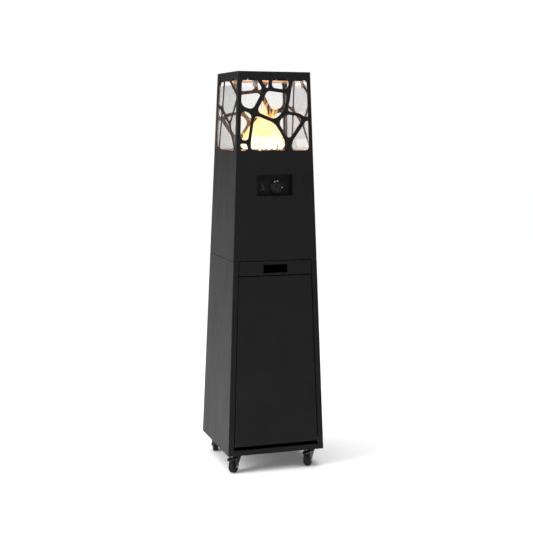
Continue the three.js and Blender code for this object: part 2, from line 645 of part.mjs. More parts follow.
// A castor is built with its swivel axis on Z and its wheel trailing towards +X, then turned.
function castor(name, x, y, heading, brake) {
  const fixed = new THREE.Group();
  fixed.position.set(x, y, 0);
  heater.add(fixed);
  const swivel = new THREE.Group();
  swivel.rotation.z = THREE.MathUtils.degToRad(heading);
  fixed.add(swivel);

  const plateTop = CASTOR_HEIGHT - GAP;
  const raceProfile = [[0, 57], [15, 57], [18, 61], [14, 64], [14, plateTop - 2], [0, plateTop - 2]];
  const race = solid(turned(raceProfile, 16).rotateX(Math.PI / 2));
  piece(`${name}_plate`, join(
    box([-28, 28], [-28, 28], [plateTop - 2.5, plateTop]),
    race,
  ), BLACK_COAT, fixed);

  const cheekInside = TYRE_WIDTH / 2 + 1.5;
  const cheek = new THREE.Shape();
  cheek.moveTo(-13, 56.5);
  cheek.lineTo(-12, 50);
  cheek.lineTo(TRAIL - 7, WHEEL_RADIUS - 3);
  cheek.quadraticCurveTo(TRAIL, WHEEL_RADIUS - 13, TRAIL + 7, WHEEL_RADIUS - 3);
  cheek.lineTo(TRAIL + 12, 50);
  cheek.lineTo(TRAIL + 6, 56.5);
  const cheeks = [-cheekInside, cheekInside + 2].map((y0) => {
    const geometry = new THREE.ExtrudeGeometry(cheek, { depth: 2, bevelEnabled: false, curveSegments: 5 });
    geometry.rotateX(Math.PI / 2);
    geometry.translate(0, y0, 0);
    return solid(geometry);
  });
  const crown = solid(turned([[0, 53], [19, 53], [19, 56.7], [0, 56.7]], 16).rotateX(Math.PI / 2));
  const axleHole = rod(AXLE_RADIUS + GAP, [TRAIL, -30, WHEEL_RADIUS], [TRAIL, 30, WHEEL_RADIUS], 10);
  piece(`${name}_fork`, cut(join(crown, ...cheeks), axleHole), BLACK_PLASTIC, swivel);

  const head = cheekInside + 2 + GAP;
  piece(`${name}_axle`, join(
    rod(AXLE_RADIUS, [TRAIL, -head - 4, WHEEL_RADIUS], [TRAIL, head + 4, WHEEL_RADIUS], 10),
    rod(5.5, [TRAIL, -head - 3.5, WHEEL_RADIUS], [TRAIL, -head, WHEEL_RADIUS], 6),
    rod(5.5, [TRAIL, head, WHEEL_RADIUS], [TRAIL, head + 3.5, WHEEL_RADIUS], 6),
  ), ZINC, swivel);

  const wheel = new THREE.Group();
  wheel.position.set(TRAIL, 0, WHEEL_RADIUS);
  swivel.add(wheel);
  const half = TYRE_WIDTH / 2;
  const bore = AXLE_RADIUS + GAP;
  const hub = turned([[bore, -half], [8, -half], [9, 3 - half], [HUB_RADIUS, 2.5 - half],
    [HUB_RADIUS, half - 2.5], [9, half - 3], [8, half], [bore, half], [bore, -half]], 16);
  piece(`${name}_wheel`, solid(hub), BLACK_PLASTIC, wheel);
  const inner = HUB_RADIUS + GAP;
  const tyre = turned([[inner, -half], [22, -half], [WHEEL_RADIUS, 4 - half],
    [WHEEL_RADIUS, half - 4], [22, half], [inner, half], [inner, -half]], 24);
  piece(`${name}_tyre`, solid(tyre), RUBBER, wheel);

  if (brake) {
    // The pedal lies between the cheeks over the tyre and narrows towards its tip.
    const profile = outline([[20, 57], [20, 53], [26, 51], [36, 50.5], [54, 51], [56, 53],
      [40, 57.5], [28, 58.5]]);
    const width = cheekInside - GAP;
    const side = new THREE.ExtrudeGeometry(profile, { depth: 2 * width, bevelEnabled: false });
    side.rotateX(Math.PI / 2);
    side.translate(0, width, 0);
    const plan = outline([[19, -width], [44, -width], [57, -6], [57, 6], [44, width], [19, width]]);
    const above = new THREE.ExtrudeGeometry(plan, { depth: 20, bevelEnabled: false });
    above.translate(0, 0, 45);
    piece(`${name}_brake_pedal`, solid(side).intersect(solid(above)), BLACK_PLASTIC, swivel);
  }
}

lowerCabinet();
doorHeader();
door();
upperUnit();
controlBox();
gasTrain();
const reach = BASE_WIDTH / 2 - CASTOR_INSET;
castor('front_left_castor', -reach, -reach, 225, true);
castor('front_right_castor', reach, -reach, 228, true);
castor('rear_left_castor', -reach, reach, 258, false);
castor('rear_right_castor', reach, reach, 240, false);

export default heater;
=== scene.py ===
import json
import math

import bmesh
import bpy
from mathutils import Matrix, Vector


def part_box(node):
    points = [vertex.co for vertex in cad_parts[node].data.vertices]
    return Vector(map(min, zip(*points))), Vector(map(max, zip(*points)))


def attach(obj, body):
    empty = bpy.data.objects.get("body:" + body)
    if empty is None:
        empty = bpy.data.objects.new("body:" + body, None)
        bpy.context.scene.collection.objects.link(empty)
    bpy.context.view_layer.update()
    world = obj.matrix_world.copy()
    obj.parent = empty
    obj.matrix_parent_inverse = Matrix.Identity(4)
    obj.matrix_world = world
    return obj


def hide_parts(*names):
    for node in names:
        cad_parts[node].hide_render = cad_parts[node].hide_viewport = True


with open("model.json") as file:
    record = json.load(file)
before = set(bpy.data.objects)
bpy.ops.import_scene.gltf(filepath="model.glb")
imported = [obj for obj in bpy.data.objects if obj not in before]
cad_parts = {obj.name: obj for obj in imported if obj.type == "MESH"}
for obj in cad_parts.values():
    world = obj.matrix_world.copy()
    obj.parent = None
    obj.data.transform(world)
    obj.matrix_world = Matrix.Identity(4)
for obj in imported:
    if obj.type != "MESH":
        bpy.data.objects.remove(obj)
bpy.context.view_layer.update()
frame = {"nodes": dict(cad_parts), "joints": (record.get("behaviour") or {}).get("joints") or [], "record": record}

# Gas patio heater: looks for the folded tower, its glazed flame chamber, controls, door and castors.
# Metres, +Z up, front towards -Y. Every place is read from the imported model.

RECORD = frame["record"]
BODY_OF = {name: body for body, names in RECORD["behaviour"]["bodies"].items() for name in names}
SLOT_OF = {part["node"]: part["material_slot"] for part in RECORD["subparts"]}
JOINTS = {joint["name"]: joint for joint in frame["joints"]}
CASTORS = ("front_left", "front_right", "rear_left", "rear_right")

# Sheet metal sizes that the finished pieces share.
SHEET = 0.0015
BEND_RADIUS = 0.0026
BEND_STEPS = 5
CORNER_STEPS = 7
EDGE_ROUND = 0.00028
CASTOR_PLATE = 0.0025
SMOOTH_UNDER = math.radians(32)

# The tower's taper, read from the left side panels of the two halves.
LOWER_LOW, LOWER_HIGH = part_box("lower_left_panel")
UPPER_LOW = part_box("upper_left_panel")[0]
SLOPE = (UPPER_LOW.x - LOWER_LOW.x) / (UPPER_LOW.z - LOWER_LOW.z)
LEAN = math.atan(SLOPE)
FACES = {"front": 0.0, "right": math.pi / 2, "back": math.pi, "left": -math.pi / 2}


def half_width(z):
    """How far the faces stand from the tower's middle at a height."""
    return -LOWER_LOW.x - SLOPE * (z - LOWER_LOW.z)


def flange_width(node):
    """How far a left side panel reaches round the corner, read at its top."""
    points = [v.co for v in frame["nodes"][node].data.vertices]
    top = max(p.z for p in points)
    return max(p.x for p in points if p.z > top - 1e-5) + half_width(top)


POST_WIDTH = flange_width("lower_left_panel")
CORNER_WIDTH = flange_width("upper_left_panel")


def on_face(face, u, z, depth=0.0):
    """A point on one of the four leaning faces: u sideways seen from outside, depth behind the face."""
    return Matrix.Rotation(FACES[face], 3, "Z") @ Vector((u, depth - half_width(z), z))


# --- Meshes ---------------------------------------------------------------------------------------


def crease(bm):
    """Smooth shading everywhere but across sharp edges."""
    for face in bm.faces:
        face.smooth = True
    for edge in bm.edges:
        edge.smooth = len(edge.link_faces) == 2 and edge.calc_face_angle(0) < SMOOTH_UNDER


def piece(name, bm, material, body, slot, replaces=(), outward=True):
    """A finished piece from a bmesh that already stands in its place."""
    if outward:
        bmesh.ops.recalc_face_normals(bm, faces=bm.faces)
    crease(bm)
    mesh = bpy.data.meshes.new(name)
    bm.to_mesh(mesh)
    bm.free()
    mesh.materials.append(material)
    made = bpy.data.objects.new(name, mesh)
    bpy.context.scene.collection.objects.link(made)
    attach(made, body)
    if replaces:
        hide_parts(*replaces)
    return made


def stand_in(node, bm, material, outward=True):
    """A finished piece that stands for one node, on that node's body."""
    return piece(f"{node}_finished", bm, material, BODY_OF[node], SLOT_OF[node], [node], outward)


def soften(made, width=EDGE_ROUND, segments=2):
    """Rounds every sharp edge by a small bevel with even shading."""
    bevel = made.modifiers.new("rounded edges", "BEVEL")
    bevel.width = width
    bevel.segments = segments
    bevel.limit_method = "ANGLE"
    bevel.angle_limit = SMOOTH_UNDER
    even = made.modifiers.new("even shading", "WEIGHTED_NORMAL")
    even.weight = 100
    even.keep_sharp = True
    return made


def node_mesh(node, merge=2e-6, flat=math.radians(0.6)):
    """A node's mesh as a bmesh, with its loose triangles joined into flat faces."""
    bm = bmesh.new()
    bm.from_mesh(frame["nodes"][node].data)
    bmesh.ops.remove_doubles(bm, verts=bm.verts, dist=merge)
    bmesh.ops.dissolve_limit(bm, angle_limit=flat, verts=bm.verts, edges=bm.edges)
    return bm


def round_edges(bm, chosen, width, segments):
    """Bevels the edges for which chosen(edge) is true."""
    edges = [edge for edge in bm.edges if chosen(edge)]
    bmesh.ops.bevel(bm, geom=edges, offset=width, segments=segments, affect="EDGES", profile=0.5,
                    clamp_overlap=True)


def finished_copy(node, material, width=EDGE_ROUND, segments=2):
    """The node's own shape with softly rounded edges."""
    return soften(stand_in(node, node_mesh(node), material, outward=False), width, segments)


def add_mesh(bm, other):
    """Adds one bmesh to another and frees it."""
    mesh = bpy.data.meshes.new("part")
    other.to_mesh(mesh)
    other.free()
    bm.from_mesh(mesh)
    bpy.data.meshes.remove(mesh)


def lathe(profile, steps=48, place=Matrix.Identity(4)):
    """A turned solid: its profile holds (radius, position along Z), and closes on itself or on the axis."""
    bm = bmesh.new()
    rings = []
    for radius, along in profile:
        if radius < 1e-7:
            rings.append([bm.verts.new((0, 0, along))] * steps)
            continue
        turns = [2 * math.pi * i / steps for i in range(steps)]
        rings.append([bm.verts.new((radius * math.cos(t), radius * math.sin(t), along)) for t in turns])
    pairs = list(zip(rings, rings[1:]))
    if profile[0][0] > 1e-7 or profile[-1][0] > 1e-7:
        pairs.append((rings[-1], rings[0]))
    for low, high in pairs:
        for i in range(steps):
            j = (i + 1) % steps
            corners = []
            for corner in (low[i], low[j], high[j], high[i]):
                if corner not in corners:
                    corners.append(corner)
            if len(corners) > 2:
                bm.faces.new(corners)
    bmesh.ops.remove_doubles(bm, verts=bm.verts, dist=1e-8)
    bmesh.ops.recalc_face_normals(bm, faces=bm.faces)
    bm.transform(place)
    return bm


def prism(outline, low, high, place=Matrix.Identity(4)):
    """An outline in X and Y carried from one height to another."""
    bm = bmesh.new()
    bottom = [bm.verts.new((x, y, low)) for x, y in outline]
    top = [bm.verts.new((x, y, high)) for x, y in outline]
    bm.faces.new(list(reversed(bottom)))
    bm.faces.new(top)
    for i in range(len(outline)):
        j = (i + 1) % len(outline)
        bm.faces.new((bottom[i], bottom[j], top[j], top[i]))
    bmesh.ops.recalc_face_normals(bm, faces=bm.faces)
    bm.transform(place)
    return bm


def arc(centre, radius, start, end, steps):
    """Points on an arc, angles in degrees."""
    angles = [math.radians(start + (end - start) * i / steps) for i in range(steps + 1)]
    return [(centre[0] + radius * math.cos(a), centre[1] + radius * math.sin(a)) for a in angles]


def ring_outline(radius, sides):
    """The corners of a regular outline round the origin."""
    angles = [2 * math.pi * i / sides for i in range(sides)]
    return [(radius * math.cos(a), radius * math.sin(a)) for a in angles]


def mirrored(profile):
    """The other end of a turned profile that is the same at both ends."""
    return [(radius, -along) for radius, along in reversed(profile)]


def axis_place(point, axis, across=Vector((0, 0, 1))):
    """A place whose Z runs along the axis and whose Y is as near as it can be to across."""
    z = Vector(axis).normalized()
    x = Vector(across).cross(z).normalized()
    y = z.cross(x)
    place = Matrix((x, y, z)).transposed().to_4x4()
    place.translation = Vector(point)
    return place


# --- Materials ------------------------------------------------------------------------------------


def add(tree, kind, inputs=None, **settings):
    """A node with its settings and inputs; an input is a plain value or another node's output."""
    made = tree.nodes.new(kind)
    for name, value in settings.items():
        setattr(made, name, value)
    for name, value in (inputs or {}).items():
        if isinstance(value, bpy.types.NodeSocket):
            tree.links.new(value, made.inputs[name])
        else:
            made.inputs[name].default_value = value
    return made


def maths(tree, operation, *values, clamp=False):
    inputs = dict(enumerate(values))
    return add(tree, "ShaderNodeMath", inputs, operation=operation, use_clamp=clamp).outputs[0]


def spread(tree, value, low, high, to_low=0.0, to_high=1.0):
    """Maps a value's range onto another, clamped."""
    inputs = {"Value": value, "From Min": low, "From Max": high, "To Min": to_low, "To Max": to_high}
    return add(tree, "ShaderNodeMapRange", inputs).outputs[0]


def blend_colours(tree, share, first, second):
    """Mixes two colours; each is a plain value or another node's output."""
    made = tree.nodes.new("ShaderNodeMix")
    made.data_type = "RGBA"
    made.blend_type = "MIX"
    for index, value in ((0, share), (6, first), (7, second)):
        if isinstance(value, bpy.types.NodeSocket):
            tree.links.new(value, made.inputs[index])
        else:
            made.inputs[index].default_value = value if index == 0 else (*value[:3], 1)
    return made.outputs[2]


def noise(tree, place, scale, detail=3.0, roughness=0.5):
    inputs = {"Vector": place, "Scale": scale, "Detail": detail, "Roughness": roughness}
    return add(tree, "ShaderNodeTexNoise", inputs).outputs[0]


def shader_group(name, inputs, outputs):
    """An empty shader group with named sockets."""
    tree = bpy.data.node_groups.new(name, "ShaderNodeTree")
    for label, kind, default in inputs:
        socket = tree.interface.new_socket(label, in_out="INPUT", socket_type=kind)
        socket.default_value = default
    for label, kind in outputs:
        tree.interface.new_socket(label, in_out="OUTPUT", socket_type=kind)
    given = tree.nodes.new("NodeGroupInput").outputs
    result = tree.nodes.new("NodeGroupOutput").inputs
    return tree, given, result


NUMBER, COLOUR = "NodeSocketFloat", "NodeSocketColor"


def surface_grain():
    """Fine bumps of a coat or a moulding, with a slow unevenness over the whole piece."""
    tree, given, result = shader_group(
        "Surface grain",
        [("Grains per metre", NUMBER, 900.0), ("Patches per metre", NUMBER, 6.0)],
        [("Height", NUMBER), ("Patches", NUMBER), ("Smears", NUMBER)])
    place = add(tree, "ShaderNodeTexCoord").outputs["Object"]
    fine = noise(tree, place, given["Grains per metre"], 2.0, 0.6)
    grains = {"Vector": place, "Scale": given["Grains per metre"]}
    cells = add(tree, "ShaderNodeTexVoronoi", grains).outputs[0]
    height = maths(tree, "MULTIPLY_ADD", cells, 0.45, fine)
    tree.links.new(height, result["Height"])
    slow = noise(tree, place, given["Patches per metre"], 4.0, 0.6)
    tree.links.new(spread(tree, slow, 0.3, 0.7), result["Patches"])
    stretched = add(tree, "ShaderNodeMapping", {"Vector": place, "Scale": (1.0, 1.0, 0.22)}).outputs[0]
    streaks = noise(tree, stretched, maths(tree, "MULTIPLY", given["Patches per metre"], 5.0), 5.0, 0.65)
    tree.links.new(spread(tree, streaks, 0.45, 0.75), result["Smears"])
    return tree


def settled_dust():
    """Pale dust that lies on surfaces facing up and gathers in specks elsewhere."""
    tree, given, result = shader_group(
        "Settled dust",
        [("Colour", COLOUR, (0.02, 0.02, 0.02, 1)), ("Dust", COLOUR, (0.25, 0.23, 0.2, 1)),
         ("Amount", NUMBER, 0.3)],
        [("Colour", COLOUR), ("Mask", NUMBER)])
    coords = add(tree, "ShaderNodeTexCoord").outputs
    up = add(tree, "ShaderNodeSeparateXYZ", {0: coords["Normal"]}).outputs[2]
    lying = spread(tree, up, 0.35, 1.0)
    patchy = spread(tree, noise(tree, coords["Object"], 38.0, 6.0, 0.7), 0.35, 0.75)
    specks = spread(tree, noise(tree, coords["Object"], 420.0, 2.0, 0.5), 0.68, 0.78, 0.0, 0.35)
    mask = maths(tree, "MULTIPLY_ADD", lying, patchy, specks)
    mask = maths(tree, "MULTIPLY", mask, given["Amount"], clamp=True)
    tree.links.new(mask, result["Mask"])
    tree.links.new(blend_colours(tree, mask, given["Colour"], given["Dust"]), result["Colour"])
    return tree


def edge_wear():
    """Wear along edges: the rounded normal departs from the true one close to an edge."""
    tree, given, result = shader_group(
        "Edge wear",
        [("Colour", COLOUR, (0.02, 0.02, 0.02, 1)), ("Worn", COLOUR, (0.08, 0.08, 0.08, 1)),
         ("Width", NUMBER, 0.0012), ("Amount", NUMBER, 0.5)],
        [("Colour", COLOUR), ("Mask", NUMBER)])
    rounded = add(tree, "ShaderNodeBevel", {"Radius": given["Width"]}, samples=4).outputs[0]
    true = add(tree, "ShaderNodeNewGeometry").outputs["Normal"]
    both = {0: rounded, 1: true}
    likeness = add(tree, "ShaderNodeVectorMath", both, operation="DOT_PRODUCT").outputs["Value"]
    place = add(tree, "ShaderNodeTexCoord").outputs["Object"]
    broken = spread(tree, noise(tree, place, 160.0, 4.0, 0.6), 0.35, 0.65)
    mask = maths(tree, "MULTIPLY", spread(tree, likeness, 0.995, 0.9), broken)
    mask = maths(tree, "MULTIPLY", mask, given["Amount"], clamp=True)
    tree.links.new(mask, result["Mask"])
    tree.links.new(blend_colours(tree, mask, given["Colour"], given["Worn"]), result["Colour"])
    return tree


def drawn_metal():
    """Fine parallel scratches of rolled or brushed metal, with dull blotches."""
    tree, given, result = shader_group(
        "Drawn metal",
        [("Lines per metre", NUMBER, 1500.0), ("Colour", COLOUR, (0.5, 0.5, 0.5, 1)),
         ("Dull", COLOUR, (0.3, 0.3, 0.3, 1)), ("Dullness", NUMBER, 0.5)],
        [("Colour", COLOUR), ("Height", NUMBER), ("Mask", NUMBER)])
    place = add(tree, "ShaderNodeTexCoord").outputs["Object"]
    stretched = add(tree, "ShaderNodeMapping", {"Vector": place, "Scale": (0.03, 1.0, 1.0)}).outputs[0]
    lines = noise(tree, stretched, given["Lines per metre"], 2.0, 0.5)
    tree.links.new(lines, result["Height"])
    blotches = spread(tree, noise(tree, place, 55.0, 5.0, 0.65), 0.4, 0.68)
    mask = maths(tree, "MULTIPLY", blotches, given["Dullness"], clamp=True)
    tree.links.new(mask, result["Mask"])
    tree.links.new(blend_colours(tree, mask, given["Colour"], given["Dull"]), result["Colour"])
    return tree


GRAIN, DUST, WEAR, DRAWN = surface_grain(), settled_dust(), edge_wear(), drawn_metal()


def use(tree, group, **inputs):
    """Places a shader group; the names of its inputs are written with underscores."""
    made = tree.nodes.new("ShaderNodeGroup")
    made.node_tree = group
    for name, value in inputs.items():
        socket = made.inputs[name.replace("_", " ")]
        if isinstance(value, bpy.types.NodeSocket):
            tree.links.new(value, socket)
        else:
            socket.default_value = (*value, 1) if isinstance(value, tuple) else value
    return made.outputs


def new_material(name):
    made = bpy.data.materials.new(name)
    made.use_nodes = True
    return made, made.node_tree, made.node_tree.nodes["Principled BSDF"]


def bump(tree, height, distance, strength=1.0):
    inputs = {"Height": height, "Distance": distance, "Strength": strength}
    return add(tree, "ShaderNodeBump", inputs).outputs[0]


def coated(name, colour, worn, rough, grains, relief, dust=0.25, wear=0.5, specular=0.5, patch=0.35):
    """A coat or moulding: slow patches, fine grain, worn edges and a little dust."""
    made, tree, shader = new_material(name)
    grain = use(tree, GRAIN, Grains_per_metre=grains)
    lighter = tuple(min(1.0, part * (1 + patch) + 0.0015) for part in colour)
    darker = tuple(part * (1 - patch) for part in colour)
    tone = blend_colours(tree, grain["Patches"], darker, lighter)
    worn_tone = use(tree, WEAR, Colour=tone, Worn=worn, Amount=wear)
    dusty = use(tree, DUST, Colour=worn_tone["Colour"], Amount=dust)
    tree.links.new(dusty["Colour"], shader.inputs["Base Color"])
    uneven = spread(tree, grain["Smears"], 0.0, 1.0, rough[0], rough[1])
    duller = maths(tree, "MULTIPLY_ADD", dusty["Mask"], 0.3, uneven, clamp=True)
    tree.links.new(duller, shader.inputs["Roughness"])
    tree.links.new(bump(tree, grain["Height"], relief), shader.inputs["Normal"])
    shader.inputs["Specular IOR Level"].default_value = specular
    return made


def bare_metal(name, colour, dull, rough, lines, relief, dullness=0.6, dust=0.15):
    """Metal without paint: drawn lines, dull blotches and a trace of dust."""
    made, tree, shader = new_material(name)
    drawn = use(tree, DRAWN, Lines_per_metre=lines, Colour=colour, Dull=dull, Dullness=dullness)
    dusty = use(tree, DUST, Colour=drawn["Colour"], Amount=dust)
    tree.links.new(dusty["Colour"], shader.inputs["Base Color"])
    tree.links.new(spread(tree, drawn["Mask"], 0.0, 1.0, rough[0], rough[1]), shader.inputs["Roughness"])
    tree.links.new(spread(tree, dusty["Mask"], 0.0, 1.0, 1.0, 0.2), shader.inputs["Metallic"])
    tree.links.new(bump(tree, drawn["Height"], relief), shader.inputs["Normal"])
    return made


def colour_ramp(tree, value, stops):
    """The colour at a value, from (position, colour) stops in rising order."""
    made = tree.nodes.new("ShaderNodeValToRGB")
    tree.links.new(value, made.inputs[0])
    ramp = made.color_ramp
    for element, (position, colour) in zip(ramp.elements, (stops[0], stops[-1])):
        element.position = position
        element.color = (*colour, 1)
    for position, colour in stops[1:-1]:
        ramp.elements.new(position).color = (*colour, 1)
    return made.outputs[0]


def heat_marked_steel():
    """Bare sheet around the burner: straw, brown and blue rings that fade outwards, and soot."""
    made = bare_metal("Heat marked steel", (0.42, 0.41, 0.4), (0.2, 0.18, 0.16), (0.3, 0.6), 1200.0, 0.00004)
    tree = made.node_tree
    shader = tree.nodes["Principled BSDF"]
    plain = shader.inputs["Base Color"].links[0].from_socket
    place = add(tree, "ShaderNodeTexCoord").outputs["Object"]
    flat = add(tree, "ShaderNodeMapping", {"Vector": place, "Scale": (1.0, 1.0, 0.0)}).outputs[0]
    away = add(tree, "ShaderNodeVectorMath", {0: flat}, operation="LENGTH").outputs["Value"]
    wavering = maths(tree, "MULTIPLY_ADD", noise(tree, place, 26.0, 4.0), 0.03, away)
    stops = [(0.0, (0.03, 0.028, 0.027)), (0.35, (0.09, 0.07, 0.09)), (0.5, (0.09, 0.11, 0.22)),
             (0.65, (0.3, 0.14, 0.08)), (0.8, (0.42, 0.3, 0.14)), (1.0, (0.45, 0.44, 0.42))]
    rings = colour_ramp(tree, spread(tree, wavering, 0.03, 0.15), stops)
    tree.links.new(blend_colours(tree, 0.75, plain, rings), shader.inputs["Base Color"])
    return made


def clear_glass():
    """Heat-proof glass with a trace of soot that thickens towards the burner."""
    made, tree, shader = new_material("Chamber glass")
    place = add(tree, "ShaderNodeTexCoord").outputs["Object"]
    height = add(tree, "ShaderNodeSeparateXYZ", {0: place}).outputs[2]
    low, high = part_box("pane_front")
    near_burner = spread(tree, height, low.z, low.z + 0.35 * (high.z - low.z), 1.0, 0.0)
    film = spread(tree, noise(tree, place, 14.0, 5.0, 0.6), 0.35, 0.8)
    soot = maths(tree, "MULTIPLY_ADD", near_burner, 0.5, film, clamp=True)
    tone = blend_colours(tree, soot, (0.99, 0.995, 0.995), (0.95, 0.945, 0.93))
    tree.links.new(tone, shader.inputs["Base Color"])
    tree.links.new(spread(tree, soot, 0.0, 1.0, 0.0, 0.02), shader.inputs["Roughness"])
    wipes = noise(tree, place, 60.0, 3.0)
    tree.links.new(bump(tree, wipes, 0.000005, 0.2), shader.inputs["Normal"])
    shader.inputs["Transmission Weight"].default_value = 1.0
    shader.inputs["IOR"].default_value = 1.47
    return made


def flame():
    """Burning gas: white hot in the body, yellow towards its edges, orange and thin at the tips."""
    made, tree, shader = new_material("Burning gas")
    along = add(tree, "ShaderNodeAttribute", attribute_name="along").outputs["Fac"]
    place = add(tree, "ShaderNodeTexCoord").outputs["Object"]
    stretched = add(tree, "ShaderNodeMapping", {"Vector": place, "Scale": (1.0, 1.0, 0.3)}).outputs[0]
    licks = noise(tree, stretched, 48.0, 3.0, 0.55)
    level = maths(tree, "MULTIPLY_ADD", licks, 0.5, maths(tree, "SUBTRACT", along, 0.25))
    edge = add(tree, "ShaderNodeLayerWeight", {"Blend": 0.5}).outputs["Facing"]
    cooler = maths(tree, "MULTIPLY_ADD", edge, 0.45, maths(tree, "MULTIPLY", level, 0.85))
    stops = [(0.3, (1.0, 0.93, 0.74)), (0.52, (1.0, 0.78, 0.36)), (0.78, (1.0, 0.5, 0.12)),
             (1.0, (0.7, 0.2, 0.03))]
    tree.links.new(colour_ramp(tree, cooler, stops), shader.inputs["Emission Color"])
    body = spread(tree, level, 0.3, 0.95, 1.0, 0.1)
    thinner = spread(tree, edge, 0.3, 0.95, 1.0, 0.0)
    tree.links.new(maths(tree, "MULTIPLY", body, thinner), shader.inputs["Alpha"])
    soot = blend_colours(tree, level, (0.02, 0.01, 0.01), (0.0, 0.0, 0.0))
    tree.links.new(soot, shader.inputs["Base Color"])
    shader.inputs["Roughness"].default_value = 1.0
    shader.inputs["Specular IOR Level"].default_value = 0.0
    shader.inputs["Emission Strength"].default_value = 1.7
    return made


def glazed_ceramic():
    """The insulator: off-white glaze, browned and sooted towards its hot end."""
    made = coated("Glazed ceramic", (0.72, 0.69, 0.62), (0.5, 0.47, 0.42), (0.18, 0.35), 700.0, 0.00002,
                  dust=0.1, wear=0.3, patch=0.08)
    tree = made.node_tree
    shader = tree.nodes["Principled BSDF"]
    plain = shader.inputs["Base Color"].links[0].from_socket
    place = add(tree, "ShaderNodeTexCoord").outputs["Object"]
    height = add(tree, "ShaderNodeSeparateXYZ", {0: place}).outputs[2]
    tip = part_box("ignition_electrode")[1].z
    hot = spread(tree, height, tip - 0.028, tip - 0.008)
    soot = maths(tree, "MULTIPLY", hot, spread(tree, noise(tree, place, 300.0, 4.0), 0.2, 0.5), clamp=True)
    tree.links.new(blend_colours(tree, soot, plain, (0.05, 0.035, 0.025)), shader.inputs["Base Color"])
    return made


MATERIALS = {
    "black_coat": coated(
        "Black powder coat", (0.0052, 0.0052, 0.0054), (0.042, 0.042, 0.043), (0.46, 0.52), 850.0, 0.00004,
        dust=0.025, wear=0.55, specular=0.14, patch=0.1),
    "black_plastic": coated(
        "Moulded black plastic", (0.005, 0.005, 0.0053), (0.03, 0.03, 0.031), (0.3, 0.42), 2600.0, 0.000025,
        dust=0.03, wear=0.4, specular=0.3),
    "castor_plastic": coated(
        "Castor nylon", (0.009, 0.009, 0.0095), (0.06, 0.06, 0.06), (0.34, 0.48), 1800.0, 0.00003,
        dust=0.06, wear=0.5, specular=0.35),
    "castor_coat": coated(
        "Castor plate coat", (0.02, 0.02, 0.021), (0.12, 0.12, 0.12), (0.35, 0.5), 1200.0, 0.00003,
        dust=0.1, wear=0.6),
    "tyre": coated(
        "Tyre rubber", (0.0065, 0.0065, 0.0068), (0.03, 0.029, 0.028), (0.6, 0.8), 1400.0, 0.00006,
        dust=0.08, wear=0.5, specular=0.22),
    "lead": coated(
        "Silicone sleeve", (0.19, 0.022, 0.014), (0.24, 0.05, 0.04), (0.42, 0.6), 1600.0, 0.00004,
        dust=0.3, wear=0.3),
    "zinc": bare_metal("Bright zinc", (0.62, 0.63, 0.65), (0.36, 0.36, 0.37), (0.22, 0.5), 2400.0, 0.00002),
    "brass": bare_metal("Dull brass", (0.58, 0.39, 0.15), (0.26, 0.16, 0.06), (0.26, 0.52), 2000.0, 0.00002),
    "bare_steel": heat_marked_steel(),
    "ceramic": glazed_ceramic(),
    "glass": clear_glass(),
}
PRINTED_MARK = coated("Printed mark", (0.86, 0.86, 0.85), (0.5, 0.5, 0.5), (0.4, 0.55), 2200.0, 0.00001,
                      dust=0.1, wear=0.5, patch=0.1)
FLAME = flame()


def material_of(node):
    return MATERIALS[SLOT_OF[node]]


# --- Geometry Nodes -------------------------------------------------------------------------------


def geometry_tree(name, inputs):
    """An empty geometry tree that takes and gives a geometry, with named inputs."""
    tree = bpy.data.node_groups.new(name, "GeometryNodeTree")
    tree.interface.new_socket("Geometry", in_out="INPUT", socket_type="NodeSocketGeometry")
    for label, kind in inputs:
        tree.interface.new_socket(label, in_out="INPUT", socket_type=kind)
    tree.interface.new_socket("Geometry", in_out="OUTPUT", socket_type="NodeSocketGeometry")
    return tree, tree.nodes.new("NodeGroupInput").outputs, tree.nodes.new("NodeGroupOutput").inputs


def grown(tree, mesh, **values):
    """Runs a geometry tree on a mesh and gives the result as a bmesh."""
    holder = bpy.data.objects.new("holder", mesh)
    bpy.context.scene.collection.objects.link(holder)
    modifier = holder.modifiers.new("growth", "NODES")
    modifier.node_group = tree
    sockets = {item.name: item.identifier for item in tree.interface.items_tree if item.in_out == "INPUT"}
    for name, value in values.items():
        modifier[sockets[name.replace("_", " ")]] = value
    graph = bpy.context.evaluated_depsgraph_get()
    result = bpy.data.meshes.new_from_object(holder.evaluated_get(graph), depsgraph=graph)
    holder.modifiers.remove(modifier)
    bpy.data.objects.remove(holder)
    bm = bmesh.new()
    bm.from_mesh(result)
    bpy.data.meshes.remove(result)
    return bm


def named_attribute(tree, name, kind):
    return add(tree, "GeometryNodeInputNamedAttribute", {"Name": name}, data_type=kind).outputs[0]


def end_tree(tree, geometry, given, result):
    """Realises the instances and sets the material, as the tree's last two steps."""
    real = add(tree, "GeometryNodeRealizeInstances", {"Geometry": geometry}).outputs[0]
    done = add(tree, "GeometryNodeSetMaterial", {"Geometry": real, "Material": given["Material"]}).outputs[0]
    tree.links.new(done, result["Geometry"])


def cut_sheet_tree():
    """A flat sheet from its outlines: every corner is rounded by its own radius, then the sheet is filled."""
    tree, given, result = geometry_tree(
        "Cut sheet", [("Corner steps", "NodeSocketInt"), ("Material", "NodeSocketMaterial")])
    curve = add(tree, "GeometryNodeMeshToCurve", {"Mesh": given["Geometry"]}).outputs[0]
    radius = named_attribute(tree, "corner_radius", "FLOAT")
    rounding = {"Curve": curve, "Count": given["Corner steps"], "Radius": radius, "Limit Radius": True}
    rounded = add(tree, "GeometryNodeFilletCurve", rounding, mode="POLY").outputs[0]
    filled = add(tree, "GeometryNodeFillCurve", {"Curve": rounded}, mode="TRIANGLES").outputs[0]
    end_tree(tree, filled, given, result)
    return tree


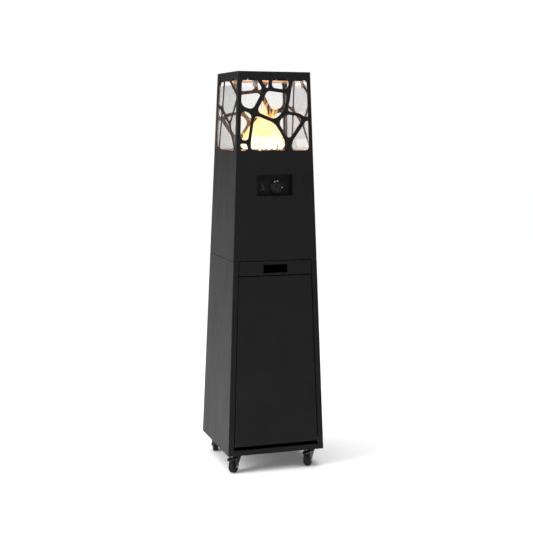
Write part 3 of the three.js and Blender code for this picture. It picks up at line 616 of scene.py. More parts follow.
def fastener_tree():
    """One fastener on each point, standing along the point's normal."""
    tree, given, result = geometry_tree(
        "Fasteners", [("Fastener", "NodeSocketObject"), ("Size", "NodeSocketFloat"),
                      ("Seed", "NodeSocketInt"), ("Material", "NodeSocketMaterial")])
    shape = add(tree, "GeometryNodeObjectInfo", {"Object": given["Fastener"]}).outputs["Geometry"]
    way = named_attribute(tree, "way", "FLOAT_VECTOR")
    standing = add(tree, "FunctionNodeAlignRotationToVector", {"Vector": way}, axis="Z").outputs[0]
    turn = add(tree, "FunctionNodeRandomValue", {"Seed": given["Seed"]}, data_type="FLOAT")
    turn.inputs[3].default_value = 2 * math.pi
    about = {"Axis": (0, 0, 1), "Angle": turn.outputs[1]}
    spin = add(tree, "FunctionNodeAxisAngleToRotation", about).outputs[0]
    both = {0: standing, 1: spin}
    turned = add(tree, "FunctionNodeRotateRotation", both, rotation_space="LOCAL").outputs[0]
    placed = {"Points": given["Geometry"], "Instance": shape, "Rotation": turned, "Scale": given["Size"]}
    instances = add(tree, "GeometryNodeInstanceOnPoints", placed).outputs[0]
    end_tree(tree, instances, given, result)
    return tree


CUT_SHEET, FASTENERS = cut_sheet_tree(), fastener_tree()


def shape_object(name, bm):
    """A loose object that a geometry tree copies; it is removed once it has been used."""
    crease(bm)
    mesh = bpy.data.meshes.new(name)
    bm.to_mesh(mesh)
    bm.free()
    made = bpy.data.objects.new(name, mesh)
    bpy.context.scene.collection.objects.link(made)
    return made


def fasten(name, shape, spots, material, body, slot, seed, size=1.0):
    """A group of equal fasteners, each spot given as (point, way out)."""
    mesh = bpy.data.meshes.new("spots")
    mesh.from_pydata([tuple(point) for point, _ in spots], [], [])
    ways = mesh.attributes.new("way", "FLOAT_VECTOR", "POINT")
    ways.data.foreach_set("vector", [part for _, way in spots for part in way])
    model = shape_object("model", shape)
    bm = grown(FASTENERS, mesh, Fastener=model, Size=size, Seed=seed, Material=material)
    bpy.data.objects.remove(model)
    return piece(name, bm, material, body, slot)


def rivet_shape():
    """A blind rivet: a domed flange with the hole left by its mandrel. It starts just under the sheet."""
    dome = [(0.0032, -0.0006), (0.0032, 0.0003), (0.0029, 0.0008), (0.0021, 0.0012), (0.0013, 0.0013),
            (0.0011, 0.001), (0.0010, 0.0004), (0.0, 0.0004), (0.0, -0.0006)]
    return lathe(dome, 20)


def socket_screw_shape():
    """A button-head screw with a hexagon socket."""
    head = lathe([(0.0, -0.0008), (0.0038, -0.0008), (0.0038, 0.0004), (0.0034, 0.0013), (0.0024, 0.0019),
                  (0.0016, 0.0021), (0.0, 0.0021)], 24)
    return socketed(head, 0.0013, 0.0021, 0.0012)


def hex_bolt_shape():
    """A small hexagon bolt head on its washer."""
    bm = lathe([(0.0, -0.0006), (0.0052, -0.0006), (0.0052, 0.0006), (0.0048, 0.0009), (0.0, 0.0009)], 24)
    add_mesh(bm, prism(ring_outline(0.0038, 6), 0.0008, 0.0034))
    add_mesh(bm, lathe([(0.0, 0.0033), (0.0030, 0.0033), (0.0026, 0.0038), (0.0, 0.0038)], 18))
    return bm


def socketed(bm, radius, top, depth):
    """Sinks a hexagon socket into the flat end of a screw head."""
    cap = [face for face in bm.faces if face.normal.z > 0.9 and face.calc_center_median().z > top - 1e-5]
    bmesh.ops.delete(bm, geom=cap, context="FACES_ONLY")
    loose = [v for v in bm.verts if not v.link_faces]
    bmesh.ops.delete(bm, geom=loose, context="VERTS")
    rim = [edge for edge in bm.edges if len(edge.link_faces) == 1]
    mouth = [bm.verts.new((x, y, top)) for x, y in ring_outline(radius, 6)]
    floor = [bm.verts.new((x, y, top - depth)) for x, y in ring_outline(radius, 6)]
    ring = [bm.edges.new((mouth[i], mouth[(i + 1) % 6])) for i in range(6)]
    bmesh.ops.bridge_loops(bm, edges=rim + ring)
    for i in range(6):
        j = (i + 1) % 6
        bm.faces.new((mouth[i], mouth[j], floor[j], floor[i]))
    bm.faces.new(floor)
    bmesh.ops.recalc_face_normals(bm, faces=bm.faces)
    return bm


# --- Folded sheet panels --------------------------------------------------------------------------


def outer_loops(node, face):
    """The outlines of a node's outer side in (u, z), longest first."""
    bm = bmesh.new()
    bm.from_mesh(frame["nodes"][node].data)
    bmesh.ops.remove_doubles(bm, verts=bm.verts, dist=1e-5)
    bm.transform(Matrix.Rotation(-FACES[face], 4, "Z"))
    outer = {f for f in bm.faces if all(abs(v.co.y + half_width(v.co.z)) < 5e-5 for v in f.verts)}
    beside = {}
    for edge in bm.edges:
        if sum(f in outer for f in edge.link_faces) == 1:
            for here, there in (edge.verts, reversed(edge.verts)):
                beside.setdefault(here, []).append(there)
    loops = []
    seen = set()
    for first in beside:
        if first in seen:
            continue
        loop = [first]
        seen.add(first)
        while True:
            onward = [v for v in beside[loop[-1]] if v not in seen]
            if not onward:
                break
            seen.add(onward[0])
            loop.append(onward[0])
        loops.append([Vector((v.co.x, v.co.z)) for v in loop])
    bm.free()
    return sorted(loops, key=lambda loop: -max((a - b).length for a in loop for b in loop))


def sharp_corners(loop):
    """A hole's true corners with their radii: each rounded corner holds four points in a row."""
    count = len(loop)
    gaps = [(loop[(i + 1) % count] - loop[i]).length for i in range(count)]
    phase = max(range(4), key=lambda k: sum(gaps[k::4]))
    corners = []
    for i in range(phase + 1, phase + 1 + count, 4):
        start, end = loop[i % count], loop[(i + 3) % count]
        before, after = loop[(i - 1) % count], loop[(i + 4) % count]
        along = (start - before).normalized()
        onward = (after - end).normalized()
        turn = along.cross(onward)
        reach = (end - start).cross(onward) / turn
        corner = start + along * reach
        opening = math.pi - math.atan2(abs(turn), along.dot(onward))
        tangent = min(reach, (end - corner).length)
        corners.append((corner, tangent * math.tan(opening / 2)))
    return corners


def cut_sheet(outline, holes):
    """The flat sheet in (u, z) as a bmesh of triangles."""
    points, edges, radii = [], [], []
    for ring in [[(corner, 0.0) for corner in outline]] + holes:
        first = len(points)
        for corner, radius in ring:
            points.append((corner[0], corner[1], 0.0))
            radii.append(radius)
        edges += [(first + i, first + (i + 1) % len(ring)) for i in range(len(ring))]
    mesh = bpy.data.meshes.new("outlines")
    mesh.from_pydata(points, edges, [])
    mesh.attributes.new("corner_radius", "FLOAT", "POINT").data.foreach_set("value", radii)
    return grown(CUT_SHEET, mesh, Corner_steps=CORNER_STEPS, Material=MATERIALS["black_coat"])


def folded_panel(face, low, high, edge, holes, flange=0.0):
    """A sheet on one face with its holes, and a flange bent in along both upright edges.

    edge(z) is where the outer side ends sideways, flange is the folded edge's full depth, 0 for none."""
    bend = BEND_RADIUS if flange else 0.0
    wide, narrow = edge(low) - bend, edge(high) - bend
    flat = [(-wide, low), (wide, low), (narrow, high), (-narrow, high)]
    bm = cut_sheet(flat, holes)
    rim = [e for e in bm.edges if len(e.link_faces) == 1]
    folds = []
    if flange:
        folds = [e for e in rim if all(abs(abs(v.co.x) - edge(v.co.y) + bend) < 1e-5 for v in e.verts)]
    inner = {v: bm.verts.new((v.co.x, v.co.y, SHEET)) for v in list(bm.verts)}
    for f in list(bm.faces):
        bm.faces.new([inner[v] for v in reversed(f.verts)])
    for e in rim:
        if e not in folds:
            a, b = e.verts
            bm.faces.new((a, b, inner[b], inner[a]))
    if flange:
        turns = [math.radians(90 * i / BEND_STEPS) for i in range(BEND_STEPS + 1)]
        outer_side = [(bend * (math.sin(t) - 1), bend * (1 - math.cos(t))) for t in turns] + [(0, flange)]
        thin = bend - SHEET
        inner_side = [(thin * math.sin(t) - bend, bend - thin * math.cos(t)) for t in turns]
        inner_side.append((-SHEET, flange))
        section = outer_side + list(reversed(inner_side))
        for side in (-1, 1):
            rows = [[bm.verts.new((side * (edge(z) + du), z, depth)) for du, depth in section]
                    for z in (low, high)]
            for i in range(len(section) - 1):
                bm.faces.new((rows[0][i], rows[0][i + 1], rows[1][i + 1], rows[1][i]))
            last = len(section) - 1
            for row in rows:
                for i in range(len(outer_side) - 1):
                    bm.faces.new((row[i], row[i + 1], row[last - i - 1], row[last - i]))
    for v in bm.verts:
        v.co = on_face(face, v.co.x, v.co.y, v.co.z)
    bmesh.ops.remove_doubles(bm, verts=bm.verts, dist=1e-6)
    return bm


def round_seam(bm):
    """Rounds the outer edges that face the seam between the tower's two halves."""
    seam = (LOWER_HIGH.z + UPPER_LOW.z) / 2

    def at_seam(edge):
        level = all(abs(v.co.z - seam) < 0.0015 for v in edge.verts)
        reach = [half_width(v.co.z) - max(abs(v.co.x), abs(v.co.y)) for v in edge.verts]
        return level and all(abs(gap) < 3e-5 for gap in reach) and edge.calc_length() > 0.1

    round_edges(bm, at_seam, 0.0009, 3)


def side_panels():
    """The four side channels, cut screens above and plain sheets below."""
    for side in ("left", "right"):
        for half in ("lower", "upper"):
            node = f"{half}_{side}_panel"
            low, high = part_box(node)
            loops = outer_loops(node, side)
            holes = [sharp_corners(loop) for loop in loops[1:]]
            flange = POST_WIDTH if half == "lower" else CORNER_WIDTH
            bm = folded_panel(side, low.z, high.z, half_width, holes, flange)
            round_seam(bm)
            soften(stand_in(node, bm, material_of(node)))


def edge_fold(face, low, high, edge, depth):
    """A fold behind a sheet's upright edge, as its own closed strip."""
    bm = bmesh.new()
    for side in (-1, 1):
        rows = []
        for z in (low, high):
            outer, inner = edge(z), edge(z) - SHEET
            rows.append([on_face(face, side * u, z, d) for u, d in
                         ((outer, SHEET * 0.9), (outer, depth), (inner, depth), (inner, SHEET * 0.9))])
        rows = [[bm.verts.new(p) for p in row] for row in rows]
        bm.faces.new(rows[0])
        bm.faces.new(list(reversed(rows[1])))
        for i in range(4):
            j = (i + 1) % 4
            bm.faces.new((rows[0][i], rows[0][j], rows[1][j], rows[1][i]))
    return bm


def front_and_back_panels():
    """The upper front and back sheets between the side channels' flanges."""
    fold_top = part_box("burner_deck")[0].z - 0.004
    for face in ("front", "back"):
        node = f"upper_{face}_panel"
        low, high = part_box(node)
        loops = outer_loops(node, face)
        holes = [sharp_corners(loop) for loop in loops[1:]]
        inset = half_width(low.z) - max(point[0] for point in loops[0])

        def edge(z, inset=inset):
            return half_width(z) - inset

        bm = folded_panel(face, low.z, high.z, edge, holes)
        round_seam(bm)
        add_mesh(bm, edge_fold(face, low.z, fold_top, edge, 0.012))
        soften(stand_in(node, bm, material_of(node)))


def cabinet_sheets():
    """The cabinet's other sheets, the door and its header, with real bend radii on their outer folds."""
    for node in ("lower_back_panel", "base_tray", "cabinet_top_plate", "upper_base_plate", "burner_deck",
                 "heat_deflector", "top_lid", "control_box"):
        finished_copy(node, material_of(node))
    for node in ("door", "door_header"):
        bm = node_mesh(node)

        def on_front(edge):
            outside = all(abs(v.co.y + half_width(v.co.z)) < 4e-5 for v in edge.verts)
            return outside and edge.calc_face_angle(0) > 0.5 and edge.calc_length() > 0.02

        round_edges(bm, on_front, 0.0013, 4)
        soften(stand_in(node, bm, material_of(node), outward=False))
    for side in ("left", "right"):
        for part in ("door_hinge_bracket", "door_magnet"):
            finished_copy(f"{part}_{side}", material_of(f"{part}_{side}"), 0.0004)


side_panels()
front_and_back_panels()
cabinet_sheets()


# --- Glass and fasteners --------------------------------------------------------------------------


def chamber_glass():
    """The four panes, with polished edges. Lamp light passes through them to the screens."""
    for face in FACES:
        made = finished_copy(f"pane_{face}", MATERIALS["glass"], 0.0005)
        made.visible_shadow = False


def tower_fasteners():
    """Rivets up the back edges, screws in the lid and the hinge brackets, bolts in the castor plates."""
    out_back = Vector((0, math.cos(LEAN), math.sin(LEAN)))
    lower_heights = (0.14, 0.28, 0.42, 0.56, 0.70)
    upper_heights = (0.82, 0.98, 1.13)
    sides = (-1, 1)
    lower = [(side * (half_width(z) - POST_WIDTH / 2), z) for side in sides for z in lower_heights]
    upper = [(side * (half_width(z) - CORNER_WIDTH * 0.55), z) for side in sides for z in upper_heights]
    for name, spots in (("cabinet_rivets", lower), ("tower_rivets", upper)):
        placed = [(on_face("back", u, z), out_back) for u, z in spots]
        fasten(name, rivet_shape(), placed, MATERIALS["black_coat"], "root", "black_coat", seed=3)

    low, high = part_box("top_lid")
    inset = 0.012
    corners = [(x, y) for x in (low.x + inset, high.x - inset) for y in (low.y + inset, high.y - inset)]
    spots = [(Vector((x, y, high.z)), Vector((0, 0, 1))) for x, y in corners]
    fasten("lid_screws", socket_screw_shape(), spots, MATERIALS["zinc"], "root", "zinc", seed=5)

    for side, outer, inner in (("left", 0, 1), ("right", 1, 0)):
        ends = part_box(f"door_hinge_bracket_{side}")
        x = ends[outer].x + 0.42 * (ends[inner].x - ends[outer].x)
        middle = (ends[0].z + ends[1].z) / 2
        spots = [(Vector((x, ends[0].y + 0.002, middle + rise)), Vector((0, 1, 0)))
                 for rise in (-0.007, 0.007)]
        fasten(f"hinge_screws_{side}", socket_screw_shape(), spots, MATERIALS["zinc"], "root", "zinc", seed=7,
               size=0.8)

    bolt_reach = 0.0215
    for name in CASTORS:
        low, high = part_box(f"{name}_castor_plate")
        middle = (low + high) / 2
        under = high.z - CASTOR_PLATE
        spots = [(Vector((middle.x + x, middle.y + y, under)), Vector((0, 0, -1)))
                 for x in (-bolt_reach, bolt_reach) for y in (-bolt_reach, bolt_reach)]
        fasten(f"{name}_castor_bolts", hex_bolt_shape(), spots, MATERIALS["zinc"], "root", "zinc", seed=11)


# --- Gas controls ---------------------------------------------------------------------------------


def loft(rings, place=Matrix.Identity(4)):
    """A closed solid through rings of equally many points, capped at both ends."""
    bm = bmesh.new()
    rows = [[bm.verts.new(point) for point in ring] for ring in rings]
    bm.faces.new(rows[0])
    bm.faces.new(rows[-1])
    for low, high in zip(rows, rows[1:]):
        for i in range(len(low)):
            j = (i + 1) % len(low)
            bm.faces.new((low[i], low[j], high[j], high[i]))
    bmesh.ops.recalc_face_normals(bm, faces=bm.faces)
    bm.transform(place)
    return bm


def stadium(half_length, half_wide, height, steps=10):
    """A long outline with round ends, along Y, at one height."""
    straight = half_length - half_wide
    points = []
    for middle, start in ((straight, 0), (-straight, 180)):
        for x, y in arc((0, middle), half_wide, start, start + 180, steps):
            points.append((x, y, height))
    return points


def control_knob():
    """A push and turn knob: a skirt with three printed marks, a round boss and a tapered grip bar."""
    turn = JOINTS["knob_turn"]
    place = axis_place(turn["pos_m"], turn["axis"])
    body = lathe([
        (0.0, -0.0112), (0.0128, -0.0112), (0.0150, -0.0108), (0.0164, -0.0112), (0.0173, -0.0122),
        (0.0176, -0.0136), (0.0179, -0.0190), (0.0186, -0.0196), (0.0218, -0.0197), (0.0226, -0.0200),
        (0.0230, -0.0206), (0.0230, -0.0231), (0.0227, -0.0235), (0.0043, -0.0235), (0.0043, -0.0120),
        (0.0, -0.0120)], 72)
    layers = ((-0.0118, 0.0066, 0.0162), (-0.0108, 0.0055, 0.0160), (-0.0095, 0.0048, 0.0158),
              (-0.0050, 0.0041, 0.0153), (-0.0034, 0.0038, 0.0150), (-0.0027, 0.0033, 0.0145),
              (-0.0025, 0.0026, 0.0138))
    grip = loft([stadium(long, wide, z) for z, wide, long in layers])
    grip_turn = math.radians(-32)
    grip.transform(Matrix.Rotation(grip_turn, 4, "Z"))
    add_mesh(body, grip)
    body.transform(place)
    soften(stand_in("control_knob", body, MATERIALS["black_plastic"]), 0.0002)

    reach, skirt_face = 0.0201, -0.0199
    marks = bmesh.new()
    for degrees, radius in ((112, 0.0020), (80, 0.0019), (-8, 0.0021)):
        a = math.radians(degrees)
        at = Matrix.Translation((reach * math.cos(a), reach * math.sin(a), skirt_face))
        add_mesh(marks, lathe([(0.0, 0.0), (radius, 0.0), (radius, 0.0006), (radius * 0.85, 0.0008),
                               (0.0, 0.0008)], 20, at))
    marks.transform(place)
    piece("knob_marks", marks, PRINTED_MARK, "knob", "black_plastic")

    stem = lathe([(0.0, -0.0123), (0.0036, -0.0123), (0.0040, -0.0127), (0.0040, -0.0515), (0.0036, -0.0520),
                  (0.0, -0.0520)], 32, place)
    stand_in("valve_stem", stem, MATERIALS["zinc"])


def igniter():
    """The igniter's bezel and barrel, and its sprung button with a dished face."""
    low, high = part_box("igniter_button")
    inwards = Vector(JOINTS["igniter_press"]["axis"])
    place = axis_place((low + high) / 2, -inwards)
    front, back = 0.01225, -0.01225
    button = lathe([
        (0.0, front - 0.0012), (0.0030, front - 0.0010), (0.0052, front - 0.0003), (0.0062, front),
        (0.0070, front - 0.0004), (0.0075, front - 0.0014), (0.0075, back), (0.0, back)], 48, place)
    stand_in("igniter_button", button, MATERIALS["black_plastic"])
    bezel, wall, end = 0.00475, 0.00155, -0.03225
    body = lathe([
        (0.0078, bezel - 0.0006), (0.0084, bezel), (0.0104, bezel - 0.0002), (0.0122, bezel - 0.0008),
        (0.0130, bezel - 0.0018), (0.0130, wall), (0.0095, wall), (0.0095, end), (0.0, end),
        (0.0, -0.0183), (0.0078, -0.0183)], 56, place)
    ribs = bmesh.new()
    rib_count = 28
    for i in range(rib_count):
        turned = Matrix.Rotation(2 * math.pi * i / rib_count, 4, "Z") @ Matrix.Translation((0.0126, 0, 0))
        add_mesh(ribs, prism([(-0.0003, -0.0005), (0.0004, -0.0003), (0.0004, 0.0003), (-0.0003, 0.0005)],
                             wall + 0.0002, bezel - 0.0020, place @ turned))
    add_mesh(body, ribs)
    stand_in("igniter_body", body, MATERIALS["black_plastic"])


def gas_train():
    """Valve, pipes, hose fitting, lead and sensors."""
    for node in ("gas_valve", "gas_inlet_pipe", "gas_pipe", "ignition_electrode", "ignition_lead",
                 "thermocouple", "door_hinge_pin_left", "door_hinge_pin_right"):
        finished_copy(node, material_of(node), 0.0003)

    low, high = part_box("gas_inlet_fitting")
    middle = (low + high) / 2
    place = Matrix.Translation((middle.x, middle.y, low.z))
    profile = [(0.0, 0.0), (0.0040, 0.0)]
    barbs, barb_pitch = 3, 0.009
    for i in range(barbs):
        foot = barb_pitch * i
        profile += [(0.0044, foot + 0.0005), (0.0055, foot + 0.0034), (0.0055, foot + 0.0040),
                    (0.0046, foot + 0.0048)]
    profile += [(0.0046, 0.0280), (0.0078, 0.0300), (0.0080, 0.0305), (0.0080, 0.0478), (0.0080, 0.0485),
                (0.0080, 0.0556), (0.0076, 0.0560), (0.0, 0.0560)]
    fitting = lathe(profile, 40, place)
    add_mesh(fitting, prism(ring_outline(0.0118, 6), 0.0482, 0.0558, place))
    soften(stand_in("gas_inlet_fitting", fitting, MATERIALS["brass"]), 0.0003)


# --- Burner and flame -----------------------------------------------------------------------------


def burner():
    """The pressed burner head on its mixing tube, with rings of raised ports."""
    low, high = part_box("burner")
    middle = (low + high) / 2
    radius, top = (high.x - low.x) / 2, high.z
    tall, neck, wall = 0.024, 0.016, 0.002
    foot = top - tall
    outer = [(neck, low.z), (neck, foot - 0.0020), (neck + 0.0015, foot - 0.0003), (neck + 0.0035, foot),
             (radius - 0.010, foot), (radius - 0.0055, foot + 0.0014), (radius - 0.0016, foot + 0.0050),
             (radius, foot + 0.0085), (radius, top - 0.0085), (radius - 0.0016, top - 0.0040),
             (radius - 0.0050, top - 0.0010), (radius - 0.009, top), (0.0, top)]
    inner = [(0.0, top - wall), (radius - 0.010, top - wall), (radius - wall, top - 0.0085),
             (radius - wall, foot + 0.0085), (radius - 0.010, foot + wall), (neck - wall, foot + wall),
             (neck - wall, low.z)]
    place = Matrix.Translation((middle.x, middle.y, 0))
    stand_in("burner", lathe(outer + inner, 72, place), MATERIALS["bare_steel"])

    port = lathe([(0.0, 0.0001), (0.0010, 0.0001), (0.0011, 0.0008), (0.0013, 0.0010), (0.0017, 0.0010),
                  (0.0021, 0.0001), (0.0021, -0.0004), (0.0, -0.0004)], 12)
    spots = []
    for ring, count in ((0.022, 16), (0.034, 24), (0.046, 32)):
        for i in range(count):
            a = 2 * math.pi * (i + 0.5 * (count % 32 == 0)) / count
            spots.append((Vector((middle.x + ring * math.cos(a), middle.y + ring * math.sin(a), top)),
                          Vector((0, 0, 1))))
    fasten("burner_ports", port, spots, MATERIALS["bare_steel"], "root", "bare_steel", seed=13)


def flame_tree():
    """Tongues of flame: each point grows one of its own width and height, drawn sideways by the draught."""
    tree, given, result = geometry_tree(
        "Flames", [("Tongue", "NodeSocketObject"), ("Waves per metre", "NodeSocketFloat"),
                   ("Sway", "NodeSocketFloat"), ("Material", "NodeSocketMaterial")])
    shape = add(tree, "GeometryNodeObjectInfo", {"Object": given["Tongue"]}).outputs["Geometry"]
    size = named_attribute(tree, "tongue_size", "FLOAT_VECTOR")
    placed = {"Points": given["Geometry"], "Instance": shape, "Scale": size}
    instances = add(tree, "GeometryNodeInstanceOnPoints", placed).outputs[0]
    real = add(tree, "GeometryNodeRealizeInstances", {"Geometry": instances}).outputs[0]
    along = named_attribute(tree, "along", "FLOAT")
    place = add(tree, "GeometryNodeInputPosition").outputs[0]
    swell = {"Vector": place, "Scale": given["Waves per metre"], "Detail": 1.0}
    waves = add(tree, "ShaderNodeTexNoise", swell)
    centred = add(tree, "ShaderNodeVectorMath", {0: waves.outputs["Color"], 1: (0.5, 0.5, 0.5)},
                  operation="SUBTRACT").outputs[0]
    level = add(tree, "ShaderNodeVectorMath", {0: centred, 1: (1, 1, 0.3)}, operation="MULTIPLY").outputs[0]
    reach = maths(tree, "MULTIPLY", along, given["Sway"])
    offset = add(tree, "ShaderNodeVectorMath", {0: level, "Scale": reach}, operation="SCALE").outputs[0]
    moved = add(tree, "GeometryNodeSetPosition", {"Geometry": real, "Offset": offset}).outputs[0]
    end_tree(tree, moved, given, result)
    return tree


def tongue_shape():
    """One tongue a metre wide and a metre tall, which carries how far along it each point is."""
    rings = 16
    profile = [(0.0, 0.0)]
    for i in range(rings):
        t = i / rings
        belly = 0.35 + 0.65 * math.sin(math.pi * min(1.0, t * 1.6)) ** 0.8
        profile.append((0.5 * belly * (1 - t) ** 0.7, t))
    bm = lathe(profile + [(0.0, 1.0)], 14)
    layer = bm.verts.layers.float.new("along")
    for vert in bm.verts:
        vert[layer] = vert.co.z
    return bm


def flames():
    """A ring of tongues round the burner's rim and a taller cluster over its middle."""
    low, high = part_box("burner")
    middle = (low + high) / 2
    radius = (high.x - low.x) / 2
    root = high.z - 0.006
    tallest = 0.9 * (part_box("heat_deflector")[0].z - root)
    # Each ring: share of the burner's radius, how many, their width and height, and where they start.
    rings = [(0.94, 18, 0.054, 0.070, root - 0.008), (0.70, 12, 0.064, 0.115, root),
             (0.40, 7, 0.072, 0.155, root), (0.12, 3, 0.066, 0.19, root)]
    points, sizes = [], []
    for share, count, wide, tall, base in rings:
        for i in range(count):
            a = 2 * math.pi * (i + 0.37 * count % 1) / count
            vary = 1 + 0.32 * math.sin(5.3 * i + 9.1 * share) + 0.16 * math.sin(11.7 * i + 2.0)
            reach = share * radius
            points.append((middle.x + reach * math.cos(a), middle.y + reach * math.sin(a), base))
            # Tongues on the right stand taller.
            vary *= 1 + 0.3 * math.cos(a)
            across = wide * (1.15 - 0.2 * vary)
            sizes += [across, across, min(tall * vary, tallest)]
    mesh = bpy.data.meshes.new("roots")
    mesh.from_pydata(points, [], [])
    mesh.attributes.new("tongue_size", "FLOAT_VECTOR", "POINT").data.foreach_set("vector", sizes)
    tongue = shape_object("tongue", tongue_shape())
    bm = grown(flame_tree(), mesh, Tongue=tongue, Waves_per_metre=17.0, Sway=0.075, Material=FLAME)
    bpy.data.objects.remove(tongue)
    made = piece("flame", bm, FLAME, "root", "glass")
    made.visible_shadow = False


# --- Castors --------------------------------------------------------------------------------------

# Stands an outline up, so that its second value is a height.
UPRIGHT = Matrix.Rotation(math.radians(90), 4, "X")


def at_end(bm, sign, reach):
    """Moves a cap that points along Z to one end of an axis through the origin."""
    if sign < 0:
        bm.transform(Matrix.Rotation(math.pi, 4, "X"))
    bm.transform(Matrix.Translation((0, 0, sign * reach)))
    return bm


def castor(name):
    """One castor: plate and ball race, fork, axle bolt, wheel, ribbed tyre and, in front, a brake pedal."""
    swivel = Vector(JOINTS[f"{name}_swivel_turn"]["pos_m"])
    hub = Vector(JOINTS[f"{name}_wheel_spin"]["pos_m"])
    axle = Vector(JOINTS[f"{name}_wheel_spin"]["axis"])
    trail = (hub - swivel).xy.length
    ahead = ((hub - swivel) * Vector((1, 1, 0))).normalized()
    place = Matrix((ahead, Vector((0, 0, 1)).cross(ahead), Vector((0, 0, 1)))).transposed().to_4x4()
    place.translation = (swivel.x, swivel.y, 0)
    wheel_place = axis_place(hub, axle)
    wheel_radius = hub.z
    half_tyre = 0.010
    cheek_inside = half_tyre + 0.0015
    cheek_outside = cheek_inside + 0.002

    low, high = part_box(f"{name}_castor_plate")
    top = high.z
    side = (high.x - low.x) / 2
    under = top - CASTOR_PLATE
    corner = 0.006
    outline = []
    for x, y, start in ((1, 1, 0), (-1, 1, 90), (-1, -1, 180), (1, -1, 270)):
        outline += arc((x * (side - corner), y * (side - corner)), corner, start, start + 90, 6)
    plate = prism(outline, under, top)
    add_mesh(plate, lathe([
        (0.0, 0.0570), (0.0150, 0.0570), (0.0163, 0.0582), (0.0176, 0.0596), (0.0180, 0.0610),
        (0.0176, 0.0622), (0.0156, 0.0634), (0.0146, 0.0640), (0.0146, under + 0.0003),
        (0.0, under + 0.0003)], 48))
    plate.transform(Matrix.Translation((swivel.x, swivel.y, 0)))
    soften(stand_in(f"{name}_castor_plate", plate, MATERIALS["castor_coat"]), 0.0003)

    toe = (trail, wheel_radius)
    boss = 0.0078
    cheek = [(-0.0130, 0.0565), (-0.0128, 0.0540), (-0.0110, 0.0490), (-0.0050, 0.0395),
             (trail - 0.0085, 0.0250)]
    cheek += arc(toe, boss, 195, 345, 10)
    cheek += [(trail + 0.0090, 0.0280), (0.0290, 0.0440), (0.0298, 0.0500), (0.0285, 0.0540),
              (0.0240, 0.0565)]
    fork = lathe([(0.0, 0.0530), (0.0182, 0.0530), (0.0190, 0.0538), (0.0190, 0.0560), (0.0182, 0.0567),
                  (0.0, 0.0567)], 48)
    for sign in (-1, 1):
        near, far = sorted((sign * cheek_inside, sign * cheek_outside))
        add_mesh(fork, prism(cheek, near, far, UPRIGHT))
        turns = [math.radians(t) for t in range(0, 360, 15)]
        rim = [(trail - boss * math.cos(t), wheel_radius - boss * math.sin(t)) for t in turns]
        near, far = sorted((sign * cheek_inside, sign * (cheek_outside - 0.0002)))
        add_mesh(fork, prism(rim, near, far, UPRIGHT))
    fork.transform(place)
    soften(stand_in(f"{name}_castor_fork", fork, MATERIALS["castor_plastic"]), 0.0005, 3)

    head = cheek_outside + 0.0003
    bolt_end = [(0.0, -head - 0.0040), (0.0026, -head - 0.0040), (0.0030, -head - 0.0036)]
    bolt = lathe(bolt_end + mirrored(bolt_end), 28)
    for near, far in ((-head - 0.0035, -head - 0.0008), (head + 0.0008, head + 0.0035)):
        add_mesh(bolt, prism(ring_outline(0.0055, 6), near, far))
    for near, far in ((-head - 0.0008, -head), (head, head + 0.0008)):
        add_mesh(bolt, prism(ring_outline(0.0058, 32), near, far))
    bolt.transform(wheel_place)
    soften(stand_in(f"{name}_castor_axle", bolt, MATERIALS["zinc"]), 0.0003)

    bore, rim_radius = 0.0033, 0.0165
    face = [(bore, -half_tyre), (0.0078, -half_tyre), (0.0082, -half_tyre + 0.0004),
            (0.0090, 0.0034 - half_tyre), (0.0138, 0.0034 - half_tyre), (0.0146, 0.0022 - half_tyre),
            (rim_radius, 0.0022 - half_tyre)]
    wheel = lathe(face + mirrored(face), 48)
    for i in range(6):
        rib = prism([(0.0084, -0.0007), (0.0142, -0.0007), (0.0142, 0.0007), (0.0084, 0.0007)],
                    0.0026 - half_tyre, half_tyre - 0.0026, Matrix.Rotation(math.pi * i / 3, 4, "Z"))
        add_mesh(wheel, rib)
    wheel.transform(wheel_place)
    soften(stand_in(f"{name}_castor_wheel", wheel, MATERIALS["castor_plastic"]), 0.00025)

    inner = rim_radius + 0.0003
    shoulder = [(inner, -half_tyre), (0.0212, -half_tyre), (0.0228, -half_tyre + 0.0009),
                (0.0243, -half_tyre + 0.0027)]
    tread = list(shoulder)
    for centre in (-0.0040, 0.0, 0.0040):
        tread += [(wheel_radius, centre - 0.0012), (wheel_radius - 0.0008, centre - 0.0006),
                  (wheel_radius - 0.0008, centre + 0.0006), (wheel_radius, centre + 0.0012)]
    tread += mirrored(shoulder)
    stand_in(f"{name}_castor_tyre", lathe(tread, 72, wheel_place), MATERIALS["tyre"])

    pedal = f"{name}_castor_brake_pedal"
    if pedal in frame["nodes"]:
        finished_copy(pedal, MATERIALS["castor_plastic"], 0.0008, 3)
        pivot = Vector(JOINTS[f"{name}_brake_press"]["pos_m"])
        pin = bmesh.new()
        for sign in (-1, 1):
            cap = lathe([(0.0, 0.0), (0.0018, 0.0), (0.0018, 0.0004), (0.0012, 0.0010), (0.0, 0.0012)], 20)
            add_mesh(pin, at_end(cap, sign, cheek_outside - 0.0001))
        pin.transform(axis_place(pivot, axle))
        piece(f"{name}_castor_brake_pin", pin, MATERIALS["zinc"], BODY_OF[f"{name}_castor_fork"], "zinc")


chamber_glass()
tower_fasteners()
control_knob()
igniter()
gas_train()
burner()
flames()
for castor_name in CASTORS:
    castor(castor_name)

# Nodes that keep their own mesh take the full material.
for node_name, node_object in frame["nodes"].items():
    if not node_object.hide_render:
        node_object.data.materials.clear()
        node_object.data.materials.append(material_of(node_name))


# --- Studio ---------------------------------------------------------------------------------------


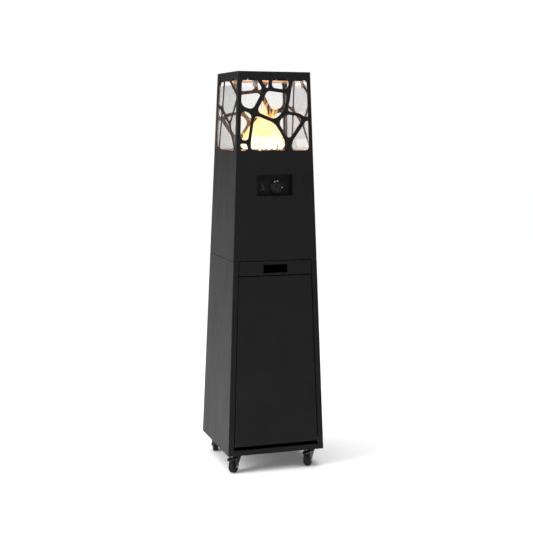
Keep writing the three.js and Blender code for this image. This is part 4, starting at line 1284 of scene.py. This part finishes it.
def floor():
    """A plain pale floor."""
    mesh = bpy.data.meshes.new("floor")
    reach = 30.0
    mesh.from_pydata([(-reach, -reach, 0), (reach, -reach, 0), (reach, reach, 0), (-reach, reach, 0)], [],
                     [(0, 1, 2, 3)])
    made = bpy.data.objects.new("floor", mesh)
    bpy.context.scene.collection.objects.link(made)
    paint, tree, shader = new_material("Pale floor")
    place = add(tree, "ShaderNodeTexCoord").outputs["Object"]
    cloud = noise(tree, place, 3.0, 4.0)
    tone = blend_colours(tree, cloud, (0.84, 0.84, 0.84), (0.87, 0.87, 0.87))
    tree.links.new(tone, shader.inputs["Base Color"])
    shader.inputs["Roughness"].default_value = 0.9
    shader.inputs["Specular IOR Level"].default_value = 0.1
    shader.inputs["Emission Color"].default_value = (1, 1, 1, 1)
    shader.inputs["Emission Strength"].default_value = 0.1
    mesh.materials.append(paint)


def surroundings(seen=1.0, lit=0.12):
    """A white backdrop that lights the object less brightly than it looks."""
    world = bpy.data.worlds.new("studio")
    world.use_nodes = True
    bpy.context.scene.world = world
    tree = world.node_tree
    rays = add(tree, "ShaderNodeLightPath").outputs
    straight = maths(tree, "MAXIMUM", rays["Is Camera Ray"], rays["Is Transmission Ray"])
    bounces = maths(tree, "ADD", rays["Diffuse Depth"], rays["Glossy Depth"], clamp=True)
    direct = maths(tree, "MULTIPLY", straight, maths(tree, "SUBTRACT", 1.0, bounces))
    strength = maths(tree, "MULTIPLY_ADD", direct, seen - lit, lit)
    tree.links.new(strength, tree.nodes["Background"].inputs["Strength"])
    tree.nodes["Background"].inputs["Color"].default_value = (1, 1, 1, 1)


def lamp(name, kind, place, target, energy, colour=(1, 1, 1), **settings):
    data = bpy.data.lights.new(name, kind)
    data.energy = energy
    data.color = colour
    for setting, value in settings.items():
        setattr(data, setting, value)
    made = bpy.data.objects.new(name, data)
    made.visible_camera = False
    made.visible_transmission = False
    made.location = place
    made.rotation_euler = (Vector(target) - Vector(place)).to_track_quat("-Z", "Y").to_euler()
    bpy.context.scene.collection.objects.link(made)
    return made


def camera():
    """The camera stands in front and a little to the left, and looks slightly down."""
    data = bpy.data.cameras.new("camera")
    data.lens = 74.4
    data.sensor_width = 36
    made = bpy.data.objects.new("camera", data)
    bpy.context.scene.collection.objects.link(made)
    distance, height = 4.076, 1.26
    azimuth = math.radians(17.8)
    made.location = (-math.sin(azimuth) * distance, -math.cos(azimuth) * distance, height)
    pitch, roll, yaw = math.radians(90 - 7.4), math.radians(0.27), math.radians(0.23)
    heading = Matrix.Rotation(-azimuth - yaw, 4, "Z")
    tilt = Matrix.Rotation(pitch, 4, "X") @ Matrix.Rotation(roll, 4, "Z")
    made.rotation_euler = (heading @ tilt).to_euler()
    bpy.context.scene.camera = made


for name in ("Cube", "Light", "Camera"):
    if name in bpy.data.objects:
        bpy.data.objects.remove(bpy.data.objects[name])
floor()
surroundings()
burner_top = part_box("burner")[1].z
FIRE = (1.0, 0.4, 0.1)
lamp("overhead", "SUN", (-0.25, 0.4, 3), (0, 0, 0), 3.1, angle=math.radians(64))
lamp("left softbox", "AREA", (-2.6, -0.5, 1.3), (0, 0, 0.7), 104, size=1.7)
lamp("high front softbox", "AREA", (0.3, -1.7, 2.5), (0, 0, 1.45), 14, size=0.7)
lamp("firelight", "POINT", (0.015, 0.0, burner_top + 0.07), (0, 0, 0), 6.0, FIRE, shadow_soft_size=0.04)
lamp("fire at the rim", "POINT", (0.0, -0.1, burner_top + 0.03), (0, 0, 0), 1.2, FIRE, shadow_soft_size=0.02)
camera()
bpy.context.scene.view_settings.view_transform = "Standard"
